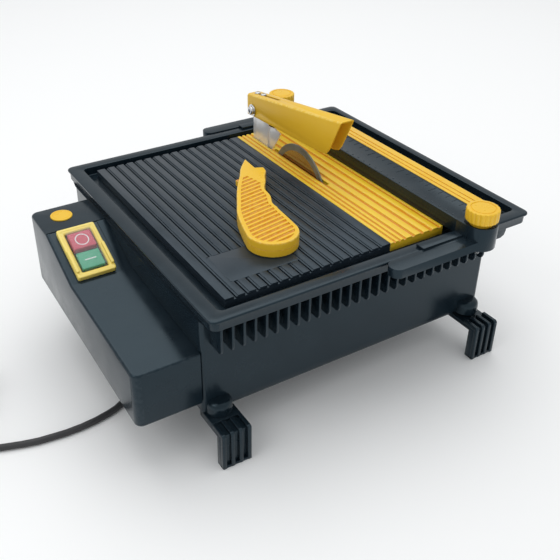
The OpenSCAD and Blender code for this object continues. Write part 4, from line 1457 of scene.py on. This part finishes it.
@dataclass
class Table:
    """Black ribbed plate and yellow ribbed insert."""

    plate: Rect = (29, 27, 220, 337)
    insert: Rect = (220.3, 27, 290, 337)
    under: float = -10
    pitch: float = 11.9
    first_groove: float = 39.9
    grooves: int = 15
    groove_half: float = 1.2
    step: float = 1.8
    pad: Rect = (48, 49, 124.5, 98.5)
    insert_pitch: float = 11.6
    insert_first: float = 238.9
    insert_groove: float = 1.7
    left_half: float = 1.1
    left_grooves: tuple[float, ...] = (226.2, 232.4)

    def _skirted(self, rect: Rect, top: float) -> Shape:
        """Returns a shallow tray turned upside down."""
        x0, y0, x1, y1 = rect
        made = Shape.block((x0, y0, self.under), (x1, y1, top)).bevel(0.5, 2)
        return made.combined(Shape.block((x0 + 4, y0 + 5, self.under - 2), (x1 - 4, y1 - 5, -5)))

    def black_plate(self) -> Shape:
        """Returns the plate with its ribs and its smooth pad."""
        x0, y0, x1, y1 = self.plate
        made = self._skirted(self.plate, -3)
        start = self.first_groove + self.groove_half
        width = self.pitch - 2 * self.groove_half
        outline = [(start, -3.5), (start, -1), (start + self.step, -1), (start + self.step, 0),
                   (start + width, 0), (start + width, -3.5)]
        ribs = Shape.prism(outline, y0, y1, Axis.Y).bevel(0.35, 2)
        ribs = ribs.array(Row(self.grooves - 1, (self.pitch, 0, 0)), BLACK_TABLE, "plate_ribs")
        last = self.first_groove + (self.grooves - 1) * self.pitch + self.groove_half
        ribs.add(
            Shape.block((x0, y0, -3.5), (self.first_groove - self.groove_half, y1, 0)).bevel(0.4,
                                                                                             2),
            Shape.prism([(last, -3.5), (last, -1), (last + self.step, -1), (last + self.step, 0),
                         (x1, 0), (x1, -3.5)], y0, y1, Axis.Y).bevel(0.35, 2),
        )
        px0, py0, px1, py1 = self.pad
        ribs.combined(Shape.block((px0, py0, -4), (px1, py1, 2)))
        smooth = Shape.loft([rounded_rect((px0 + d, py0 + d, px1 - d, py1 - d), 2.0, z)
                             for d, z in ((0, -3.5), (0, -0.6), (0.2, -0.2), (0.7, 0))])
        return made.add(ribs, smooth)

    def _insert_rib(self, left: float, right: float, half: float) -> Shape:
        """Returns one rib with sloping flanks between two groove lines."""
        _, y0, _, y1 = self.insert
        a, b = left + half, right - half
        outline = [(a, -2.2), (a, -1.2), (a + 0.5, 0), (b - 0.5, 0), (b, -1.2), (b, -2.2)]
        return Shape.prism(outline, y0, y1, Axis.Y).bevel(0.25, 2, 15)

    def yellow_insert(self) -> Shape:
        """Returns the insert with its ribs and the slots for blade and post."""
        x0, y0, x1, y1 = self.insert
        made = self._skirted(self.insert, -1.3)
        rib = self._insert_rib(self.insert_first, self.insert_first + self.insert_pitch,
                               self.insert_groove)
        ribs = rib.array(Row(4, (self.insert_pitch, 0, 0)), YELLOW_SOFT, "insert_ribs")
        edge = self.insert_first + 4 * self.insert_pitch
        borders = (x0 - 1.1, *self.left_grooves, self.insert_first)
        for left, right in (*zip(borders, borders[1:]), (edge, x1 + 1.1)):
            ribs.add(self._insert_rib(left, right, self.left_half))
        slot = [p[:2] for p in rounded_rect((240, 166, 244, 280), 1.9, 0)]
        gap = [p[:2] for p in rounded_rect((238, 284, 245, 329), 1.5, 0)]
        for outline in (slot, gap):
            tool = Shape.prism(outline, -14, 3, Axis.Z)
            made.combined(tool.copy())
            ribs.combined(tool)
        return made.add(ribs)

    def build(self) -> None:
        """Makes both plates."""
        self.black_plate().piece("ribbed_table", Body.BASE, BLACK_TABLE, ["table_plate"],
                                 "black_plastic")
        self.yellow_insert().piece("ribbed_insert", Body.BASE, YELLOW_SOFT, ["insert_plate"],
                                   "yellow_plastic")


# ------------------------------------------------------------------ blade and guard


@dataclass
class BladeUnit:
    """Blade, flanges and the motor parts below the table."""

    x: float = BLADE_AXIS[0]
    y: float = BLADE_AXIS[1]
    z: float = BLADE_AXIS[2]
    dressed: tuple[tuple[str, Finish], ...] = (
        ("motor_can", CAST), ("stator", COPPER), ("end_bells", CAST), ("motor_cradle", CRADLE),
        ("drive_belt", BELT), ("bearing_block", CAST), ("ball_bearings", ZINC),
        ("shaft_seal", BELT),
        ("spindle", TURNED), ("spindle_pulley", CAST), ("rotor", CAST), ("motor_shaft", TURNED),
        ("motor_pulley", CAST), ("switch_body", SWITCH_BLACK), ("inner_flange", TURNED),
    )

    def _turn(self, x0: float) -> Matrix:
        """Returns the transform that lays the Z axis on the blade axis."""
        return Matrix.Translation((x0, self.y, self.z)) @ Matrix.Rotation(math.pi / 2, 4, "Y")

    def blade(self) -> None:
        """Makes the blade's core and its diamond rim."""
        core = Shape.lathe([(5, 0), (46.9, 0), (47, 0.2), (47, 1.4), (46.9, 1.6), (5, 1.6)], 128,
                           hollow=True)
        core.moved(self._turn(self.x - 0.8)).piece(
            "blade_disc", Body.SPINDLE, BLADE, ["blade_core"], "blade_steel")
        rim = Shape.lathe([(47, 0), (54.5, 0), (55, 0.4), (55, 1.6), (54.5, 2.0), (47, 2.0)], 128,
                          hollow=True)
        rim.moved(self._turn(self.x - 1.0)).piece(
            "blade_edge", Body.SPINDLE, DIAMOND, ["blade_rim"], "diamond_rim")

    def clamp(self) -> None:
        """Makes the outer flange and the arbor nut."""
        flange = Shape.lathe([(5, 0), (18.5, 0), (19, 0.5), (19, 3), (18.2, 4), (12, 4), (11, 3.4),
                              (5, 3.4)],
                             64, hollow=True)
        flange.moved(self._turn(self.x + 0.8)).piece(
            "outer_clamp", Body.SPINDLE, TURNED, ["outer_flange"], "turned_steel")
        nut_shape(17, 5, 7).moved(self._turn(self.x + 4.8)).piece(
            "arbor_lock_nut", Body.SPINDLE, ZINC, ["arbor_nut"], "zinc_steel")

    def build(self) -> None:
        """Makes the blade and dresses the hidden drive parts."""
        self.blade()
        self.clamp()
        for node, finish in self.dressed:
            dress(node, finish)


def nut_shape(flats: float, bore: float, height: float) -> Shape:
    """Returns a chamfered hexagon nut along Z, from zero up."""
    edge = height * 0.14
    return Shape.loft([
        circle_loop(bore, 0), circle_loop(flats / 2 - 0.1, 0), hex_loop(flats, edge),
        hex_loop(flats, height - edge), circle_loop(flats / 2 - 0.1, height),
        circle_loop(bore, height),
    ], ring=True)


def dress(node: str, finish: Finish) -> None:
    """Gives a CAD node that stays its finish."""
    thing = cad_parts[node]
    if not thing.material_slots:
        thing.data.materials.append(finish.material())
    for slot in thing.material_slots:
        slot.link = "OBJECT"
        slot.material = finish.material()
    LOG.info("%s: dressed in %s", node, finish.name)


@dataclass
class GuardSet:
    """Guard channel on its post, with the riving knife."""

    left: float = 233
    right: float = 251
    hinge: Flat = (319, 40)
    screw_y: float = 308
    screw_gap: float = 14
    slope: float = 0.1517

    def channel(self) -> Shape:
        """Returns the folded channel with its slot."""
        made = Shape.from_node("guard")
        left, right, slope = self.left, self.right, self.slope

        def fold(a: Vector, b: Vector) -> bool:
            """Picks the two long folds along the top."""
            on_top = all(abs(v.z - (57.5 + (332 - v.y) * slope)) < 0.4 for v in (a, b))
            outside = all(min(abs(v.x - left), abs(v.x - right)) < 0.05 for v in (a, b))
            return on_top and outside and (a - b).length > 20

        made.bevel(2.0, 5, 30, fold)
        return made.bevel(0.3, 2, 50)

    def screws(self) -> Shape:
        """Returns the two small screws in the channel's slot."""
        place = Matrix.Translation((242, self.screw_y, 57.5 + (332 - self.screw_y) * self.slope))
        one = Screw(3.6, 1.8, 1.8, 7, 2.4).shape()
        one.add(nut_shape(6, 1.8, 2.5).shifted(z=-6))
        one.moved(place @ Matrix.Rotation(math.radians(-8.6), 4, "X"))
        return one.array(Row(2, (0, self.screw_gap, -self.screw_gap * self.slope)), ZINC,
                         "slot_screws")

    def hardware(self) -> None:
        """Makes the pivot bolt, its washers and its nut."""
        y, z = self.hinge
        bolt = Screw(5.6, 3.6, 3, 28.6, 5).shape().moved(
            Matrix.Translation((self.left - 1.6, y, z)) @ Matrix.Rotation(-math.pi / 2, 4, "Y"))
        bolt.piece("pivot_bolt", Body.BASE, ZINC, ["guard_bolt"], "zinc_steel")
        washer = Shape.lathe([(3, 0), (7.3, 0), (7.5, 0.2), (7.5, 1.1), (7.3, 1.3), (3, 1.3)], 48,
                             hollow=True)
        washer.moved(Matrix.Translation((self.left - 1.6, y, z)) @ Matrix.Rotation(math.pi / 2, 4,
                                                                                   "Y"))
        washer.array(Row(2, (self.right - self.left + 1.9, 0, 0)), ZINC, "washers").piece(
            "pivot_washers", Body.BASE, ZINC, ["guard_washers"], "zinc_steel")
        nut_shape(10, 3, 5.4).moved(
            Matrix.Translation((self.right + 1.6, y, z)) @ Matrix.Rotation(math.pi / 2, 4, "Y")
        ).piece("pivot_nut", Body.BASE, ZINC, ["guard_nut"], "zinc_steel")

    def build(self) -> None:
        """Makes the guard's pieces."""
        self.channel().piece("guard_channel", Body.GUARD, PAINT, ["guard"], "guard_paint")
        self.screws().piece("slot_screw_pair", Body.GUARD, ZINC, ["guard_screws"], "zinc_steel")
        self.hardware()
        Shape.from_node("guard_post").bevel(0.35, 2).piece(
            "steel_post", Body.BASE, POLISHED, ["guard_post"], "polished_steel")
        Shape.from_node("riving_knife").bevel(0.3, 2).piece(
            "bright_knife", Body.BASE, POLISHED, ["riving_knife"], "polished_steel")
        Shape.from_node("knife_bracket").bevel(0.6, 2).piece(
            "post_bracket", Body.BASE, CAST, ["knife_bracket"], "cast_alloy")
        dress("knife_bolts", ZINC)


# ------------------------------------------------------------------ fence


@dataclass
class Fence:
    """Rip fence with its scale, rail, clamp heads and knobs."""

    left: float = 289.5
    rail: float = 322
    right: float = 342.5
    bar_y: Flat = (9, 353)
    rail_y: Flat = (14, 300)
    top: float = 16
    knob_at: Flat = (308, -7)
    tick_pitch: float = 10.7
    scale_margin: float = 11
    flutes: int = 20

    def bar(self) -> Shape:
        """Returns the black bar with its long channel and its foot under the rail."""
        x0, x1, z = self.left, self.rail, self.top
        outline = [(x0, 0.3), (x0, z), (x0 + 2.6, z), (x0 + 2.8, z - 0.5), (x1 - 1.8, z - 0.5),
                   (x1 - 1.6, z), (x1, z), (x1, 0.3)]
        made = Shape.prism(outline, *self.bar_y, Axis.Y).bevel(0.35, 3, 50)
        y0, y1 = self.rail_y
        rows = [((x1 - 12, y0, self.right, y1), 9, 0.3), ((x1 - 12, y0, self.right, y1), 9, 5.9)]
        return made.add(Shape.loft([rounded_rect(rect, r, h, 8) for rect, r, h in rows]).bevel(0.4,
                                                                                               2,
                                                                                               60))

    def scale(self) -> Shape:
        """Returns the raised scale: short and long lines and a row of dots."""
        y0 = self.bar_y[0] + self.scale_margin
        z = self.top - 0.55
        count = int((self.bar_y[1] - self.bar_y[0] - 2 * self.scale_margin) / self.tick_pitch) + 1
        short = Shape.block((self.rail - 9, y0 - 0.3, z),
                            (self.rail - 2.4, y0 + 0.3, z + 0.4)).bevel(0.1, 1)
        long = Shape.block((self.rail - 14, y0 - 0.3, z),
                           (self.rail - 2.4, y0 + 0.3, z + 0.42)).bevel(0.1, 1)
        dot = Shape.lathe([(1.0, z), (1.0, z + 0.25), (0.6, z + 0.42)], 12).shifted(self.left + 5.4,
                                                                                    y0)
        made = short.array(Row(count, (0, self.tick_pitch, 0)), BLACK_TABLE, "short_ticks")
        made.add(long.array(Row(count // 5 + 1, (0, 5 * self.tick_pitch, 0)), BLACK_TABLE,
                            "long_ticks"))
        return made.add(dot.array(Row(count, (0, self.tick_pitch, 0)), BLACK_TABLE, "scale_dots"))

    def yellow_rail(self) -> Shape:
        """Returns the rounded rail with its long grooves."""
        made = Shape.from_node("fence_rail")
        return made.bevel(0.5, 3, 50)

    def knob(self) -> Shape:
        """Returns the fluted knob of the front clamp."""
        per = 6
        count = self.flutes * per
        rows = [(12, 14.3, 0), (12, 19.0, 0), (15.4, 19.0, 0), (16.5, 19.25, 0.4), (17, 20.0, 1),
                (17, 30.4, 1),
                (16.8, 31.3, 0.8), (16.1, 31.85, 0.3), (15.2, 32, 0), (13.2, 32, 0),
                (12.9, 31.3, 0),
                (12.0, 31.3, 0), (11.7, 31.9, 0), (11, 32, 0), (4, 31.8, 0)]
        loops = []
        for radius, z, depth in rows:
            loop = []
            for k in range(count):
                a = 2 * math.pi * k / count
                dip = max(0.0, math.cos(self.flutes * a)) ** 1.5
                r = radius - depth * dip
                loop.append((r * math.cos(a), r * math.sin(a), z))
            loops.append(loop)
        return Shape.loft(loops).shifted(*self.knob_at)

    def stud(self) -> Shape:
        """Returns the front clamp stud with its thread below."""
        profile = [(2.3, -21), (2.9, -20.5)]
        for k in range(14):
            profile += [(3.0, -20.3 + k * 0.7), (2.65, -19.95 + k * 0.7)]
        profile += [(3, -9.6), (3, 26.4), (2.5, 27)]
        return Shape.lathe(profile, 28).shifted(*self.knob_at)

    def _both_ends(self, shape: Shape) -> Shape:
        """Adds the mirror image at the rear rim."""
        return shape.add(shape.copy().moved(REAR_MIRROR))

    def build(self) -> None:
        """Makes the fence's pieces."""
        self.bar().piece("graduated_bar", Body.FENCE, BLACK, ["fence_bar"], "black_plastic")
        self.scale().piece("scale_marks", Body.FENCE, BLACK_TABLE)
        self.yellow_rail().piece("yellow_rail", Body.FENCE, YELLOW_RAIL, ["fence_rail"],
                                 "yellow_plastic")
        for end in ("front", "rear"):
            Shape.from_node(f"fence_head_{end}").bevel(0.9, 3, 50).piece(
                f"clamp_head_{end}", Body.FENCE, BLACK, [f"fence_head_{end}"], "black_plastic")
        self._both_ends(self.stud()).piece("clamp_stud_pair", Body.FENCE, ZINC, ["clamp_studs"],
                                           "zinc_steel")
        Shape.from_node("clamp_shoes").bevel(0.5, 2).piece(
            "clamp_shoe_pair", Body.FENCE, CRADLE, ["clamp_shoes"], "cradle_steel")
        self.knob().piece("fluted_knob_front", Body.FRONT_KNOB, YELLOW, ["front_knob"],
                          "yellow_plastic")
        self.knob().moved(REAR_MIRROR).piece("fluted_knob_rear", Body.REAR_KNOB, YELLOW,
                                             ["rear_knob"], "yellow_plastic")


# ------------------------------------------------------------------ push stick


@dataclass
class PushStick:
    """Push stick with a ribbed grip and a fish tail."""

    spine: tuple[Point, ...] = (
        (117, 87, 27), (121, 108, 25), (126, 130, 22), (133, 148, 19),
        (141, 166, 17), (150, 184, 15), (163, 203, 14.2),
    )
    tail: tuple[Flat, ...] = ((158, 222), (165, 231), (178, 245), (176, 219), (185, 215),
                              (183, 206))
    low: float = 0.3
    high: float = 16.3
    border: float = 4.6
    sunk: float = 1.4
    slant: float = 0.175
    groove_half: float = 2.0
    groove_pitch: float = 6.7
    groove_count: int = 20
    groove_start: Flat = (120.8, 66.5)
    scallop: float = 1.1
    peg_at: Flat = (147.5, 207.5)

    def _side(self, side: int, inset: float, last: int) -> list[Flat]:
        """Returns one smooth edge of the grip.

        Args:
            side: 1 for the left edge, -1 for the right one.
            inset: How far in from the true edge.
            last: Index of the last spine point in use.

        Returns:
            Points from the head to the tail.
        """
        edge = []
        for i in range(last + 1):
            a, b = self.spine[max(i - 1, 0)], self.spine[min(i + 1, len(self.spine) - 1)]
            t = Vector((b[0] - a[0], b[1] - a[1])).normalized()
            half = self.spine[i][2] - inset
            edge.append(Vector((self.spine[i][0] - side * half * t.y,
                                self.spine[i][1] + side * half * t.x)))
        points = []
        for i in range(len(edge) - 1):
            a, b, c, d = edge[max(i - 1, 0)], edge[i], edge[i + 1], edge[min(i + 2, len(edge) - 1)]
            for k in range(6):
                u = k / 6
                points.append(0.5 * (2 * b + (c - a) * u + (2 * a - 5 * b + 4 * c - d) * u**2
                                     + (3 * b - a - 3 * c + d) * u**3))
        points.append(edge[-1])
        if side < 0:
            points = self._scalloped(points)
        return [tuple(p) for p in points]

    def _scalloped(self, points: list[Vector]) -> list[Vector]:
        """Returns the right edge with its shallow finger hollows."""
        moved = []
        for k, point in enumerate(points):
            share = k / (len(points) - 1)
            a, b = points[max(k - 1, 0)], points[min(k + 1, len(points) - 1)]
            out = Vector((b.y - a.y, a.x - b.x)).normalized()
            swing = math.sin(2 * math.pi * (share - 0.525) / 0.3) if 0.36 < share < 0.96 else 0.0
            moved.append(point + out * self.scallop * swing)
        return moved

    def _cap(self, inset: float) -> list[Flat]:
        """Returns the round end at the head, from right to left."""
        (x, y, half), (x1, y1, _) = self.spine[:2]
        start = math.degrees(math.atan2(y1 - y, x1 - x)) - 90
        angles = [math.radians(start - k * 6) for k in range(1, 30)]
        return [(x + (half - inset) * math.cos(a),
                 y + (half - inset) * math.sin(a)) for a in angles]

    def outline(self) -> list[Flat]:
        """Returns the whole outline with the fish tail."""
        last = len(self.spine) - 1
        return [*self._side(1, 0, last), *self.tail, *reversed(self._side(-1, 0, last)),
                *self._cap(0)]

    def panel(self) -> list[Flat]:
        """Returns the outline of the sunk panel that holds the bars."""
        last = len(self.spine) - 1
        return [*self._side(1, self.border, last), *reversed(self._side(-1, self.border, last)),
                *self._cap(self.border)]

    def build(self) -> None:
        """Makes the stick."""
        middle = (self.low + self.high) / 2
        outline = self.outline()
        lower = Shape.prism(outline, self.low, middle, Axis.Z)
        lower.bevel(1.4, 4, 50, lambda a, b: max(a.z, b.z) < self.low + 0.1).bevel(
            0.2, 1, 50, lambda a, b: min(a.z, b.z) > middle - 0.1)
        upper = Shape.prism(outline, middle, self.high, Axis.Z)
        upper.bevel(1.6, 5, 50, lambda a, b: min(a.z, b.z) > self.high - 0.1).bevel(
            0.2, 1, 50, lambda a, b: max(a.z, b.z) < middle + 0.1)
        upper.combined(self.grooves())
        peg = Shape.block((-2.6, -2.2, 5), (2.6, 2.2, 12)).bevel(0.7, 3).shifted(*self.peg_at)
        upper.add(lower, peg).piece("ribbed_push_stick", Body.STICK, YELLOW_STICK, ["push_stick"],
                                    "yellow_plastic")

    def grooves(self) -> Shape:
        """Returns the cross grooves, cut off along the grip's border."""
        low = self.high - self.sunk
        one = Shape.block((-60, -self.groove_half, low), (60, self.groove_half, self.high + 2))
        one.bevel(0.9, 3, 50, lambda a, b: max(a.z, b.z) < low + 0.1)
        made = one.array(Row(self.groove_count, (0, self.groove_pitch, 0)), YELLOW, "stick_grooves")
        made.moved(Matrix.Translation((*self.groove_start, 0)) @ Matrix.Rotation(self.slant, 4,
                                                                                 "Z"))
        return made.combined(Shape.prism(self.panel(), low - 1, self.high + 3, Axis.Z), Join.KEEP)


def main() -> None:
    """Builds the whole object in order."""
    logging.basicConfig(level=logging.INFO, format="%(name)s %(message)s")
    studio = Studio()
    studio.camera()
    SupplyCord().build()
    studio.light()
    studio.floor()
    Tub().build()
    left, right = FOOT_X
    for x, rear, body, node in (
        (left, False, Body.FOOT_FL, "foot_front_left"),
        (right, False, Body.FOOT_FR, "foot_front_right"),
        (left, True, Body.FOOT_RL, "foot_rear_left"),
        (right, True, Body.FOOT_RR, "foot_rear_right"),
    ):
        Foot(x, rear, body, node).build()
    Underside().build()
    SwitchBox().build()
    Table().build()
    BladeUnit().build()
    GuardSet().build()
    Fence().build()
    PushStick().build()


if __name__ == "__main__":
    main()
